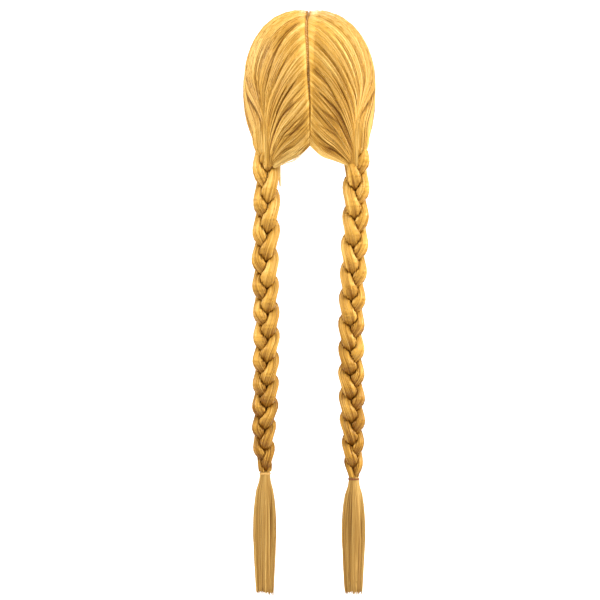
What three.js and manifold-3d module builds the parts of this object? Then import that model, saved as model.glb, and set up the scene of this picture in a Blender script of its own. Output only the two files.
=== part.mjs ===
// A long pigtail wig: a cap, a strip along the part, four swept sections of hair, and a three-strand
// braid on each side that ends in a tied tail. Millimetres, +Z up. The wearer faces -Y, +X is the
// wearer's left, and the origin is the point inside the cap that rests on the crown of the head.
import * as THREE from "three";
import { mergeVertices } from "three/addons/utils/BufferGeometryUtils.js";
import Module from "manifold-3d";

const wasm = await Module();
wasm.setup();

// Head that the cap is made for
const HEAD_WIDTH = 144;
const HEAD_LENGTH = 188;
const CROWN_RISE = 92; // crown above the widest level of the head
const NAPE_DEPTH = 96; // widest level down to where the form closes
const PLAN_POWER = 2.2; // roundness seen from above, 2 is an ellipse
const PROFILE_POWER = 2.45; // roundness seen from the back
const FORM_DETAIL = 4;

// Cap
const CAP_WALL = 1.6;
const GAP = 0.4; // clearance between neighbouring pieces

// Swept hair
const HAIR_DEPTH = 9; // hair above the cap
const CREST = 0.55; // how much deeper it is beside the part, as a share of that
const HAIR_LEAST = 4.5; // hair above the cap at its thinnest
const HAIR_FALL = 111; // widest level down to where the form that the hair follows closes
const PART_WIDTH = 2.4; // bare line between the two halves
const PART_LIP = 10; // height of the hair right beside the part
const PART_DIP = 1.5; // how far the strip along the part lies below that hair
const STRIP_ENDS = [-59, 112]; // degrees along the part at which the strip begins and ends
const PART_STEPS = 18;
const PART_ROLL = 0.2; // share of a lock's run over which it rises from the part
const SWELL_LOW = 1.7; // how far towards the root a lock's swelling lies, 1 is halfway
const LOCK_RISE = 2.4; // height of a lock above the grooves beside it
const ROWS = 10;
const LOCK_COLUMNS = 3;
const UNDER_CAP = 8; // depth inside the head from which a section is cut free

// Root, where a half is gathered into its braid
const ROOT_SPREAD = 57; // middle plane to the braid's centre
const ROOT_BACK = 51; // origin back to the braid's centre
const ROOT_DROP = 172; // origin down to the first turn of the braid
const ROOT_HEIGHT = 30;
const ROOT_START = 0.45; // share of a lock's run where it leaves the head for the root
const ROOT_STEEP = 200; // how steeply a lock comes down towards the root, over its whole run
const STEEP_LEAST = -0.15; // share of that for the flattest lock
const ROOT_PINCH = 0.2; // how much narrower the root is at its end
const ROOT_WRAP = 20; // how far the back section runs on over the strands
const ROOT_CORE = 0.12; // hollow core of the root, as a share of its width
const WRAP_CORE = 0.55; // the same within the back section's wrap
const WRAP_TURN = [99, 196]; // degrees round the root that the strands leave free for it
const PULL = 1.1; // how firmly a lock bends towards its middle direction

// Braids
const BRAID_DROP = 585; // origin down to the ties
const BRAID_WIDTH = 32;
const BRAID_DEPTH = 25;
const BRAID_TURN = 20; // degrees that each braid faces outwards
const STRAND_WIDTH = 0.5; // strand's width at an edge of the braid, as a share of the braid's
const STRAND_SLANT = 0.45; // how much wider a level cut through it is where it crosses over
const STRAND_DEPTH = 0.55; // strand's depth where it crosses over, as a share of the braid's
const STRAND_BULGE = 0.25; // how much deeper it is at the edge
const STRAND_GAP = 2.05;
const STRAND_SIDES = 7;
const STEPS_PER_LOBE = 5.4;

// Ties and tails
const NECK_RADIUS = 5.6;
const TIE_WALL = 1.5;
const TIE_HEIGHT = 3.6;
const TIE_SIDES = 14;
const TIE_BELOW_BRAID = 1.2;
const TAIL_WIDTH = 30;
const TAIL_DEPTH = 19;
const TAIL_DROP = 737; // origin down to the cut ends
const TAIL_SIDES = 21;
const TAIL_LOCKS = 7;
const TAIL_LOCK_RISE = 0.05; // as a share of the tail's half-width

// How the hair runs on one half. part: degrees along the part from the crown, front negative.
// side and level: the middle of the run, in degrees from straight outwards, to the back and up.
// depth: hair above the cap, swell: what it gains halfway, both as shares of HAIR_DEPTH.
// root: degrees round the root, from straight outwards to the back. meet: share of its run at
// which it reaches the root. join: height above the root's end there, as a share of ROOT_HEIGHT.
// bare: share of PART_WIDTH.
const FRONT_RUNS = [
  { part: -60, side: -24, level: -2, depth: 0.42, swell: 0.1, root: -142, meet: 0.97, join: 0.1, bare: 1 },
  { part: -34, side: -17, level: 3, depth: 0.9, swell: 0.2, root: -96, meet: 0.97, join: 0.1, bare: 1 },
  { part: -14, side: -11, level: 6, depth: 1, swell: 0.42, root: -30, meet: 0.97, join: 0.1, bare: 1 },
  { part: 0, side: -6, level: 8, depth: 1, swell: 0.42, root: 45, meet: 0.93, join: 0.5, bare: 1 },
  { part: 9, side: -2, level: 9, depth: 1.05, swell: 0.3, root: 96, meet: 0.85, join: 1, bare: 1 },
];
const BACK_RUNS = [
  { part: 11, side: 0, level: 9, depth: 0.95, swell: 0.15, root: 104, meet: 0.85, join: 1, bare: 1 },
  { part: 18, side: 8, level: 10, depth: 0.85, swell: 0, root: 105, meet: 0.85, join: 1, bare: 1 },
  { part: 36, side: 32, level: 8, depth: 0.85, swell: -0.1, root: 107, meet: 0.85, join: 1, bare: 1 },
  { part: 46, side: 50, level: 0, depth: 1, swell: 0.1, root: 110, meet: 0.86, join: 0.9, bare: 1 },
  { part: 60, side: 58, level: -2, depth: 1, swell: 0.1, root: 115, meet: 0.88, join: 0.6, bare: 1 },
  { part: 80, side: 66, level: -10, depth: 1, swell: 0, root: 124, meet: 0.9, join: 0.15, bare: 0.85 },
  { part: 105, side: 68, level: -36, depth: 0.9, swell: 0, root: 137, meet: 0.92, join: -0.4, bare: 0.7 },
  { part: 132, side: 68, level: -58, depth: 0.55, swell: 0, root: 152, meet: 0.94, join: -0.65, bare: 0.6 },
];

// Sections of one half. wrap: how far it runs on past the root's end. core: hollow core of the
// root there. grooves: where its locks divide, as shares of its width.
const SECTIONS = [
  {
    name: "front_hair",
    runs: FRONT_RUNS,
    wrap: 0,
    core: ROOT_CORE,
    grooves: [0.2, 0.42, 0.62, 0.8],
  },
  {
    name: "back_hair",
    runs: BACK_RUNS,
    wrap: ROOT_WRAP,
    core: WRAP_CORE,
    grooves: [0.1, 0.2, 0.3, 0.42, 0.53, 0.66, 0.78, 0.9],
  },
];

// Edge of the cap seen from the wearer's side. back: share of half the head's length.
// drop: share of the crown's rise.
const CAP_EDGE = [
  { back: -0.86, drop: 0.43 },
  { back: -0.62, drop: 0.7 },
  { back: -0.36, drop: 1.1 },
  { back: -0.12, drop: 1.24 },
  { back: 0.12, drop: 1.2 },
  { back: 0.34, drop: 1.5 },
  { back: 0.56, drop: 1.66 },
  { back: 0.8, drop: 1.62 },
];

// Braids. drop: origin down to the tie, as a share of BRAID_DROP. lobes and quicken: lobes down one
// edge, and how many of them come from the tightening towards the tie. start: lobes before the
// first. sway: how far the centre moves outwards at even steps from root to tie, as shares of
// BRAID_WIDTH.
const BRAIDS = [
  {
    name: "left",
    side: 1,
    drop: 0.995,
    lobes: 12.7,
    quicken: 3.2,
    start: 0.41,
    sway: [0, -0.07, -0.05, 0, -0.03, -0.06, -0.03, -0.01, 0.06, 0],
  },
  {
    name: "right",
    side: -1,
    drop: 1.007,
    lobes: 12.75,
    quicken: 2.2,
    start: 0.76,
    sway: [0.1, 0.07, 0.05, -0.02, -0.08, -0.13, -0.12, -0.09, -0.06, -0.02],
  },
];

// Width of the braid down its length, as shares of BRAID_WIDTH
const BRAID_TAPER = [
  { along: 0, width: 0.88 },
  { along: 0.05, width: 0.98 },
  { along: 0.3, width: 1 },
  { along: 0.8, width: 0.96 },
  { along: 0.94, width: 0.78 },
  { along: 1, width: 0.46 },
];

// Tail from its neck to the cut ends, as shares of its length, TAIL_WIDTH and TAIL_DEPTH
const TAIL_SECTIONS = [
  { along: 0.12, width: 0.66, depth: 0.86 },
  { along: 0.24, width: 0.88, depth: 0.98 },
  { along: 0.36, width: 0.97, depth: 1 },
  { along: 0.5, width: 1, depth: 0.98 },
  { along: 0.68, width: 0.92, depth: 0.9 },
  { along: 0.86, width: 0.82, depth: 0.8 },
  { along: 1, width: 0.76, depth: 0.7 },
];

const radians = THREE.MathUtils.degToRad;
const mix = THREE.MathUtils.lerp;
const smooth = (x) => THREE.MathUtils.smoothstep(x, 0, 1);

// Value of a column at a place in a table whose rows are sorted by another column.
function lookUp(table, key, place, column) {
  const after = Math.max(1, table.findIndex((row) => row[key] >= place));
  const last = place > table.at(-1)[key] ? table.length - 1 : after;
  const [low, high] = [table[last - 1], table[last]];
  const share = THREE.MathUtils.clamp((place - low[key]) / (high[key] - low[key]), 0, 1);
  return mix(low[column], high[column], smooth(share) * 0.5 + share * 0.5);
}

// Solids
function toSolid(geometry) {
  const bare = geometry.clone();
  for (const name of Object.keys(bare.attributes)) {
    if (name !== "position") bare.deleteAttribute(name);
  }
  const merged = mergeVertices(bare, 1e-4);
  const vertProperties = merged.attributes.position.array;
  const triVerts = new Uint32Array(merged.index.array);
  return new wasm.Manifold(new wasm.Mesh({ numProp: 3, vertProperties, triVerts }));
}

function toGeometry(solid) {
  const { vertProperties, triVerts } = solid.getMesh();
  const geometry = new THREE.BufferGeometry();
  geometry.setAttribute("position", new THREE.BufferAttribute(vertProperties, 3));
  geometry.setIndex(new THREE.BufferAttribute(triVerts, 1));
  geometry.computeVertexNormals();
  return geometry;
}

// A closed skin through rings of points, with both ends capped. Each ring runs anticlockwise seen
// from the last. Each quad is folded inwards, so that a twisted face stays clear of its neighbour.
function loftRings(rings) {
  const sides = rings[0].length;
  const middles = rings.map((ring) => {
    const sum = ring.reduce((total, point) => total.add(point), new THREE.Vector3());
    return sum.divideScalar(sides);
  });
  const points = [...rings.flat(), middles[0], middles.at(-1)];
  const index = [];
  for (let r = 0; r + 1 < rings.length; r++) {
    const axis = middles[r].clone().add(middles[r + 1]);
    const fold = (p, q) => points[p].clone().add(points[q]).sub(axis).length();
    for (let i = 0; i < sides; i++) {
      const [a, b] = [r * sides + i, r * sides + ((i + 1) % sides)];
      const [c, d] = [a + sides, b + sides];
      index.push(...(fold(b, c) < fold(a, d) ? [a, b, c, b, d, c] : [a, b, d, a, d, c]));
    }
  }
  const last = (rings.length - 1) * sides;
  for (let i = 0; i < sides; i++) {
    const next = (i + 1) % sides;
    index.push(points.length - 2, next, i, points.length - 1, last + i, last + next);
  }
  return new THREE.BufferGeometry().setFromPoints(points).setIndex(index);
}

// Head form
function headRadius(direction, offset, fall) {
  const across = Math.abs(direction.x) / (HEAD_WIDTH / 2 + offset);
  const along = Math.abs(direction.y) / (HEAD_LENGTH / 2 + offset);
  const height = (direction.z > 0 ? CROWN_RISE : fall) + offset;
  const plan = (across ** PLAN_POWER + along ** PLAN_POWER) ** (PROFILE_POWER / PLAN_POWER);
  return (plan + (Math.abs(direction.z) / height) ** PROFILE_POWER) ** (-1 / PROFILE_POWER);
}

function headPoint(direction, offset, lift = 0, fall = NAPE_DEPTH) {
  const unit = direction.clone().normalize();
  const point = unit.clone().multiplyScalar(headRadius(unit, offset, fall) + lift);
  point.z -= CROWN_RISE;
  return point;
}

function headForm(offset) {
  const geometry = new THREE.IcosahedronGeometry(1, FORM_DETAIL);
  const position = geometry.attributes.position;
  const direction = new THREE.Vector3();
  for (let i = 0; i < position.count; i++) {
    const { x, y, z } = headPoint(direction.fromBufferAttribute(position, i), offset);
    position.setXYZ(i, x, y, z);
  }
  return toSolid(geometry);
}

// Cap
function capGeometry() {
  const half = HEAD_LENGTH / 2;
  const far = HEAD_LENGTH;
  const edge = CAP_EDGE.map(({ back, drop }) => new THREE.Vector2(back * half, -drop * CROWN_RISE));
  const outline = new THREE.Shape();
  outline.moveTo(-far, far);
  outline.lineTo(-far, edge[0].y);
  outline.lineTo(edge[0].x, edge[0].y);
  outline.splineThru(edge.slice(1));
  outline.lineTo(far, edge.at(-1).y);
  outline.lineTo(far, far);
  outline.closePath();
  const keep = new THREE.ExtrudeGeometry(outline, {
    depth: 2 * HEAD_WIDTH,
    bevelEnabled: false,
    curveSegments: 6,
  });
  keep.translate(0, 0, -HEAD_WIDTH);
  // The outline's plane becomes YZ, and the extrusion runs along X
  keep.applyMatrix4(new THREE.Matrix4().set(0, 0, 1, 0, 1, 0, 0, 0, 0, 1, 0, 0, 0, 0, 0, 1));
  return toGeometry(headForm(CAP_WALL).subtract(headForm(0)).intersect(toSolid(keep)));
}

// The strip along the part, between the two halves of the hair.
function partStripGeometry() {
  const rings = Array.from({ length: PART_STEPS + 1 }, (_, i) => {
    const part = mix(...STRIP_ENDS, i / PART_STEPS);
    const runs = part < BACK_RUNS[0].part ? FRONT_RUNS : BACK_RUNS;
    const half = (PART_WIDTH / 2) * lookUp(runs, "part", part, "bare") - GAP;
    const full = HAIR_DEPTH * (1 + CREST) * lookUp(runs, "part", part, "depth");
    const lift = Math.min(PART_LIP, full) - PART_DIP;
    const direction = new THREE.Vector3(0, Math.sin(radians(part)), Math.cos(radians(part)));
    const low = headPoint(direction, CAP_WALL + 2 * GAP);
    const high = headPoint(direction, CAP_WALL + GAP, lift, HAIR_FALL);
    return [
      new THREE.Vector3(-half, low.y, low.z),
      new THREE.Vector3(-half, high.y, high.z),
      new THREE.Vector3(half, high.y, high.z),
      new THREE.Vector3(half, low.y, low.z),
    ];
  });
  return toGeometry(toSolid(loftRings(rings)));
}

// Direction from the head's centre at a share of a lock's run, from the part to the root.
function runDirection(runs, part, share) {
  const start = new THREE.Vector3(0, Math.sin(radians(part)), Math.cos(radians(part)));
  const side = radians(lookUp(runs, "part", part, "side"));
  const level = radians(lookUp(runs, "part", part, "level"));
  const middle = new THREE.Vector3(
    Math.cos(level) * Math.cos(side),
    Math.cos(level) * Math.sin(side),
    Math.sin(level),
  ).multiplyScalar(PULL);
  const end = new THREE.Vector3(ROOT_SPREAD, ROOT_BACK, CROWN_RISE - ROOT_DROP).normalize();
  const rest = 1 - share;
  return start
    .multiplyScalar(rest * rest)
    .addScaledVector(middle, 2 * share * rest)
    .addScaledVector(end, share * share);
}

// Height of a section's skin above its grooves: each lock is an arch between two grooves.
function lockArch(section, place) {
  const marks = [0, ...section.grooves, 1];
  const next = Math.max(1, marks.findIndex((mark) => mark >= place - 1e-6));
  const middle = (2 * (place - marks[next - 1])) / (marks[next] - marks[next - 1]) - 1;
  return Math.sqrt(Math.max(0, 1 - middle * middle));
}

function hairDepth(section, place, part, share) {
  const crest = 1 + CREST * (1 - share) ** 4;
  const full = HAIR_DEPTH * crest * lookUp(section.runs, "part", part, "depth");
  const swell = HAIR_DEPTH * lookUp(section.runs, "part", part, "swell");
  const rise = Math.min(share / PART_ROLL, 1);
  const lip = Math.min(PART_LIP, full);
  const roll = mix(lip, full, Math.sqrt(1 - (1 - rise) ** 2));
  const lock = LOCK_RISE * (lockArch(section, place) - 1) * rise;
  return roll + lock + swell * Math.sin(Math.PI * share ** SWELL_LOW) ** 2;
}

// A point of the root at an angle round it: width 1 is its surface, and 0 its middle line.
function rootPoint(braid, angle, level, width) {
  const across = (BRAID_WIDTH / 2) * width * Math.cos(radians(angle));
  const out = (BRAID_DEPTH / 2) * width * Math.sin(radians(angle));
  const turn = radians(BRAID_TURN);
  return new THREE.Vector3(
    braidCentre(braid, 0) * braid.side + across * Math.cos(turn) + out * Math.sin(turn),
    ROOT_BACK - across * Math.sin(turn) + out * Math.cos(turn),
    level,
  );
}

// A point moved out, if need be, to a height above the cap.
function keepClear(point, height) {
  const direction = point.clone().setZ(point.z + CROWN_RISE);
  const least = headPoint(direction, CAP_WALL + GAP, height);
  const reach = Math.hypot(least.x, least.y, least.z + CROWN_RISE);
  return direction.length() < reach ? least : point;
}

// One lock's line from the part to the root, along the skin or along the underside.
function sectionColumn(section, braid, place, skin) {
  const part = mix(section.runs[0].part, section.runs.at(-1).part, place);
  const read = (column) => lookUp(section.runs, "part", part, column);
  const [meet, join, angle] = [read("meet"), read("join"), read("root")];
  return Array.from({ length: ROWS + 1 }, (_, r) => {
    const share = r / ROWS;
    const lift = skin ? hairDepth(section, place, part, share) : -UNDER_CAP;
    const direction = runDirection(section.runs, part, share);
    const onHead = headPoint(direction, CAP_WALL + GAP, lift, HAIR_FALL);
    onHead.x += (PART_WIDTH / 2) * read("bare") * (1 - share);
    const late = Math.max(0, (share - meet) / (1 - meet));
    const above = ROOT_STEEP * Math.max(join, STEEP_LEAST) * Math.max(0, meet - share);
    const level = mix(ROOT_HEIGHT * join - ROOT_DROP, -ROOT_DROP - section.wrap, late) + above;
    const root = rootPoint(braid, angle, level, skin ? 1 - ROOT_PINCH * late : section.core);
    const point = onHead.lerp(root, smooth((share - ROOT_START) / (meet - ROOT_START)));
    return skin && share < meet ? keepClear(point, HAIR_LEAST) : point;
  });
}

function sectionSolid(section, braid) {
  const marks = [0, ...section.grooves, 1];
  const places = marks.slice(1).flatMap((mark, k) => {
    const step = (mark - marks[k]) / LOCK_COLUMNS;
    return Array.from({ length: LOCK_COLUMNS }, (_, i) => marks[k] + step * i);
  });
  places.push(1);
  // Ring k is the closed outline of one column: out along the skin and back along the underside
  const rings = places.map((place) => [
    ...sectionColumn(section, braid, place, true),
    ...sectionColumn(section, braid, place, false).reverse(),
  ]);
  const half = fillRings(rings).subtract(headForm(CAP_WALL + GAP));
  return braid.side > 0 ? half : half.mirror([1, 0, 0]);
}

// A closed solid through the outlines of neighbouring columns, each end filled by a strip.
function fillRings(rings) {
  const sides = rings[0].length;
  const index = [];
  for (let r = 0; r + 1 < rings.length; r++) {
    for (let i = 0; i < sides; i++) {
      const [a, b] = [r * sides + i, r * sides + ((i + 1) % sides)];
      index.push(a, b, a + sides, b, b + sides, a + sides);
    }
  }
  const addEnd = (first, turned) => {
    for (let i = 0; 2 * i + 3 < sides; i++) {
      const [a, b, c, d] = [i, i + 1, sides - 2 - i, sides - 1 - i].map((n) => first + n);
      const strip = turned ? [a, b, c, a, c, d] : [a, c, b, a, d, c];
      index.push(...strip);
    }
  };
  addEnd(0, false);
  addEnd((rings.length - 1) * sides, true);
  const geometry = new THREE.BufferGeometry().setFromPoints(rings.flat()).setIndex(index);
  return toSolid(geometry);
}

// Braids
function braidCentre(braid, along) {
  const step = THREE.MathUtils.clamp(along, 0, 1) * (braid.sway.length - 1);
  const low = Math.min(Math.floor(step), braid.sway.length - 2);
  const sway = mix(braid.sway[low], braid.sway[low + 1], smooth(step - low));
  return (ROOT_SPREAD + sway * BRAID_WIDTH) * braid.side;
}

// Share of the braid's length at which a lobe is reached: lobes grow shorter towards the tie.
function lobePlace(braid, lobe) {
  const slow = braid.lobes - braid.quicken;
  return (Math.sqrt(slow * slow + 4 * braid.quicken * lobe) - slow) / (2 * braid.quicken);
}

// A strand in the braid's own level cut: its centre runs a figure of eight, so that it comes over
// from each edge to the middle, and it is an oval that is wide where it crosses over.
function strandCut(phase, width) {
  const [halfWidth, halfDepth] = [(BRAID_WIDTH / 2) * width, (BRAID_DEPTH / 2) * width];
  const atEdge = Math.sin(phase) ** 2;
  return {
    centre: new THREE.Vector2(
      halfWidth * (1 - STRAND_WIDTH) * Math.sin(phase),
      -halfDepth * (1 - STRAND_DEPTH) * Math.sin(2 * phase),
    ),
    reachX: halfWidth * STRAND_WIDTH * (1 + STRAND_SLANT * (1 - atEdge)),
    reachY: halfDepth * (STRAND_DEPTH + STRAND_BULGE * atEdge),
  };
}

// Outline of a strand at one level, flattened where it presses on the other two.
function strandOutline(strand, others) {
  return Array.from({ length: STRAND_SIDES }, (_, i) => {
    const angle = (2 * Math.PI * (i + 0.5)) / STRAND_SIDES;
    const ray = new THREE.Vector2(Math.cos(angle), Math.sin(angle));
    const oval = 1 / Math.hypot(ray.x / strand.reachX, ray.y / strand.reachY);
    const pressed = others.map((other) => {
      const apart = other.centre.clone().sub(strand.centre);
      const stacked = Math.abs(apart.y) / apart.length();
      const free = apart.length() - STRAND_GAP * (1 + stacked);
      const facing = ray.dot(apart) / apart.length();
      return facing > 0 ? free / 2 / facing : oval;
    });
    return ray.multiplyScalar(Math.min(oval, ...pressed)).add(strand.centre);
  });
}

// Room that the strands leave for the back section's wrap, on the wearer's left.
function wrapRoom(braid) {
  const inner = WRAP_CORE - (2 * GAP) / BRAID_DEPTH;
  const arc = (width) =>
    Array.from({ length: 7 }, (_, i) => {
      const { x, y } = rootPoint(braid, mix(...WRAP_TURN, i / 6), 0, width);
      return new THREE.Vector2(x, y);
    });
  const outline = new THREE.Shape([...arc(2), ...arc(inner).reverse()]);
  const height = ROOT_WRAP + 2 * GAP;
  const room = new THREE.ExtrudeGeometry(outline, { depth: height, bevelEnabled: false });
  room.translate(0, 0, -ROOT_DROP - ROOT_WRAP - GAP);
  return toSolid(room);
}

function strandSolid(braid, letter) {
  const steps = Math.round(braid.lobes * STEPS_PER_LOBE);
  const turn = radians(BRAID_TURN);
  const rings = [];
  for (let s = 0; s <= steps; s++) {
    const lobe = (braid.lobes * s) / steps;
    const along = lobePlace(braid, lobe);
    const width = lookUp(BRAID_TAPER, "along", along, "width");
    const cuts = [0, 1, 2].map((k) =>
      strandCut((2 * Math.PI * (lobe + braid.start + k)) / 3, width),
    );
    const others = cuts.filter((_, k) => k !== letter);
    const ring = strandOutline(cuts[letter], others).map(
      ({ x, y }) =>
        new THREE.Vector3(
          braidCentre(braid, along) * braid.side + x * Math.cos(turn) + y * Math.sin(turn),
          ROOT_BACK - x * Math.sin(turn) + y * Math.cos(turn),
          mix(-ROOT_DROP - GAP, -BRAID_DROP * braid.drop, along),
        ),
    );
    rings.push(ring);
  }
  const strand = toSolid(loftRings(rings.reverse())).subtract(wrapRoom(braid));
  return braid.side > 0 ? strand : strand.mirror([1, 0, 0]);
}

// Ties and tails
function tieGeometry() {
  const inner = NECK_RADIUS + GAP;
  const [outer, high] = [inner + TIE_WALL, TIE_HEIGHT / 2];
  const round = TIE_WALL / 3;
  const profile = [
    [inner, -high],
    [outer - round, -high],
    [outer, -high + round],
    [outer, high - round],
    [outer - round, high],
    [inner, high],
    [inner, -high],
  ].map(([r, z]) => new THREE.Vector2(r, z));
  const band = new THREE.LatheGeometry(profile, TIE_SIDES).rotateX(Math.PI / 2);
  return toGeometry(toSolid(band));
}

function tailGeometry(braid) {
  const top = -BRAID_DROP * braid.drop - GAP;
  const length = TAIL_DROP + top;
  const neck = TIE_HEIGHT + 2 * TIE_BELOW_BRAID;
  const ring = (down, width, depth, ribs) =>
    Array.from({ length: TAIL_SIDES }, (_, i) => {
      const angle = (2 * Math.PI * i) / TAIL_SIDES;
      const rib = 1 - ribs * (0.5 - 0.5 * Math.cos(TAIL_LOCKS * angle));
      return new THREE.Vector3(
        width * rib * Math.cos(angle),
        depth * rib * Math.sin(angle),
        top - down,
      );
    });
  const rings = [0, neck].map((down) => ring(down, NECK_RADIUS, NECK_RADIUS, 0));
  for (const { along, width, depth } of TAIL_SECTIONS) {
    const down = mix(neck, length, along);
    const half = [TAIL_WIDTH / 2, TAIL_DEPTH / 2];
    rings.push(ring(down, half[0] * width, half[1] * depth, 2 * TAIL_LOCK_RISE));
  }
  return toGeometry(toSolid(loftRings(rings.reverse())));
}

// Finishes
const hair = new THREE.MeshStandardMaterial({ color: 0xd9a54a, roughness: 0.42, metalness: 0 });
const tailHair = new THREE.MeshStandardMaterial({ color: 0xc2924a, roughness: 0.5, metalness: 0 });
const net = new THREE.MeshStandardMaterial({ color: 0xa8763a, roughness: 0.85, metalness: 0 });
const lace = new THREE.MeshStandardMaterial({ color: 0xb98a4e, roughness: 0.8, metalness: 0 });
const elastic = new THREE.MeshStandardMaterial({ color: 0xc79a55, roughness: 0.55, metalness: 0 });

const wig = new THREE.Group();

function add(name, geometry, material, position = [0, 0, 0]) {
  const mesh = new THREE.Mesh(geometry, material);
  mesh.name = name;
  mesh.position.set(...position);
  wig.add(mesh);
}

add("cap", capGeometry(), net);
add("part_strip", partStripGeometry(), lace);

for (const section of SECTIONS) {
  for (const braid of BRAIDS) {
    add(`${section.name}_${braid.name}`, toGeometry(sectionSolid(section, braid)), hair);
  }
}

for (const braid of BRAIDS) {
  ["a", "b", "c"].forEach((letter, k) => {
    add(`braid_strand_${letter}_${braid.name}`, toGeometry(strandSolid(braid, k)), hair);
  });
  const foot = braidCentre(braid, 1);
  const tieLevel = -BRAID_DROP * braid.drop - GAP - TIE_BELOW_BRAID - TIE_HEIGHT / 2;
  add(`tie_${braid.name}`, tieGeometry(), elastic, [foot, ROOT_BACK, tieLevel]);
  add(`tail_${braid.name}`, tailGeometry(braid), tailHair, [foot, ROOT_BACK, 0]);
}

export default wig;
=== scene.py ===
"""Looks of a long golden pigtail wig: swept hair, two plaits, their ties and tails, and the cap.

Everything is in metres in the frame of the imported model: +Z is up, the wearer faces -Y, +X is the
wearer's left, and the origin is the point inside the cap that rests on the crown of the head.
"""

import logging
import math
from collections.abc import Iterable, Sequence
from dataclasses import dataclass, field
from enum import Enum

import bpy
import numpy as np
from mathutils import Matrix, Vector

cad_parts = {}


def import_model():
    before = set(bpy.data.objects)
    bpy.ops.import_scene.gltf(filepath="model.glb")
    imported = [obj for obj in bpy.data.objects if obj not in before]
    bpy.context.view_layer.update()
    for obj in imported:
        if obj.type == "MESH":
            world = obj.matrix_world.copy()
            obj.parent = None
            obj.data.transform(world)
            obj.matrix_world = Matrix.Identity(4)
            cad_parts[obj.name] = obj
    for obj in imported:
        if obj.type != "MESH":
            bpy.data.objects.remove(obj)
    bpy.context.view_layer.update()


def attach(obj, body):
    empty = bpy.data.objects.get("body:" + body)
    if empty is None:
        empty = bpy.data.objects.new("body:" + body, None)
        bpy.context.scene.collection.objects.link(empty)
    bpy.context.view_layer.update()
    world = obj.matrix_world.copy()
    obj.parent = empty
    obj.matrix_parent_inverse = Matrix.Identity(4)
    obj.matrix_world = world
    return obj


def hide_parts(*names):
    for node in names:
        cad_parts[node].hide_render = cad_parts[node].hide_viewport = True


LOG = logging.getLogger("wig")
MM = 0.001
BODY = "root"
# The cap's wall and the clearance over it, below which no hair lies
UNDER_HAIR = 2.0 * MM

Points = np.ndarray
Faces = list[Sequence[int]]


class Side(Enum):
    """The wearer's two sides, as the sign of X."""

    LEFT = 1
    RIGHT = -1

    @property
    def word(self) -> str:
        """The side's name, as the nodes use it."""
        return self.name.lower()


# Small maths


def mix(low: Points | float, high: Points | float, share: Points | float) -> Points | float:
    """Blends two values.

    Args:
        low: The value at share 0.
        high: The value at share 1.
        share: The share of the way between them.

    Returns:
        The blended value.
    """
    return low + (high - low) * share


def smooth(share: Points | float) -> Points | float:
    """Eases a share in and out.

    Args:
        share: Any number, kept between 0 and 1.

    Returns:
        The eased share.
    """
    held = np.clip(share, 0.0, 1.0)
    return held * held * (3.0 - 2.0 * held)


def unit(vectors: Points) -> Points:
    """Scales vectors to length one.

    Args:
        vectors: An array whose last axis is X, Y and Z.

    Returns:
        The unit vectors.
    """
    return vectors / np.maximum(np.linalg.norm(vectors, axis=-1, keepdims=True), 1e-9)


def look_up(places: Iterable[float], values: Iterable[float], place: Points) -> Points:
    """Reads a table, easing a little from row to row.

    Args:
        places: The rows' places, rising.
        values: The rows' values.
        place: Where to read.

    Returns:
        The value at each place.
    """
    keys, column = np.asarray(list(places)), np.asarray(list(values))
    held = np.clip(place, keys[0], keys[-1])
    row = np.clip(np.searchsorted(keys, held) - 1, 0, len(keys) - 2)
    share = (held - keys[row]) / (keys[row + 1] - keys[row])
    return mix(column[row], column[row + 1], 0.5 * smooth(share) + 0.5 * share)


class Ripple:
    """Smooth one- and two-way noise between -1 and 1, the same on every run."""

    cells = 64

    def __init__(self, seed: int) -> None:
        """Fills the lattice.

        Args:
            seed: The number that fixes the noise.
        """
        self.lattice = np.random.RandomState(seed).uniform(-1.0, 1.0, (self.cells, self.cells))

    def __call__(self, across: Points, along: Points) -> Points:
        """Reads the noise.

        Args:
            across: Place along the first way, in cells.
            along: Place along the second way, in cells.

        Returns:
            The noise at each place.
        """
        a, b = np.broadcast_arrays(np.asarray(across, float), np.asarray(along, float))
        i, j = np.floor(a).astype(int), np.floor(b).astype(int)
        s, t = smooth(a - i), smooth(b - j)
        near, far = (
            mix(
                self.lattice[i % self.cells, (j + step) % self.cells],
                self.lattice[(i + 1) % self.cells, (j + step) % self.cells],
                s,
            )
            for step in (0, 1)
        )
        return mix(near, far, t)


def hump(value: Points, middle: float, breadth: float) -> Points:
    """A smooth rise to 1 round one value.

    Args:
        value: The values.
        middle: Where the rise is 1.
        breadth: How far off it has sunk to about a third.

    Returns:
        The rise at each value.
    """
    return np.exp(-(((value - middle) / breadth) ** 2))


# Finishes


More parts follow.
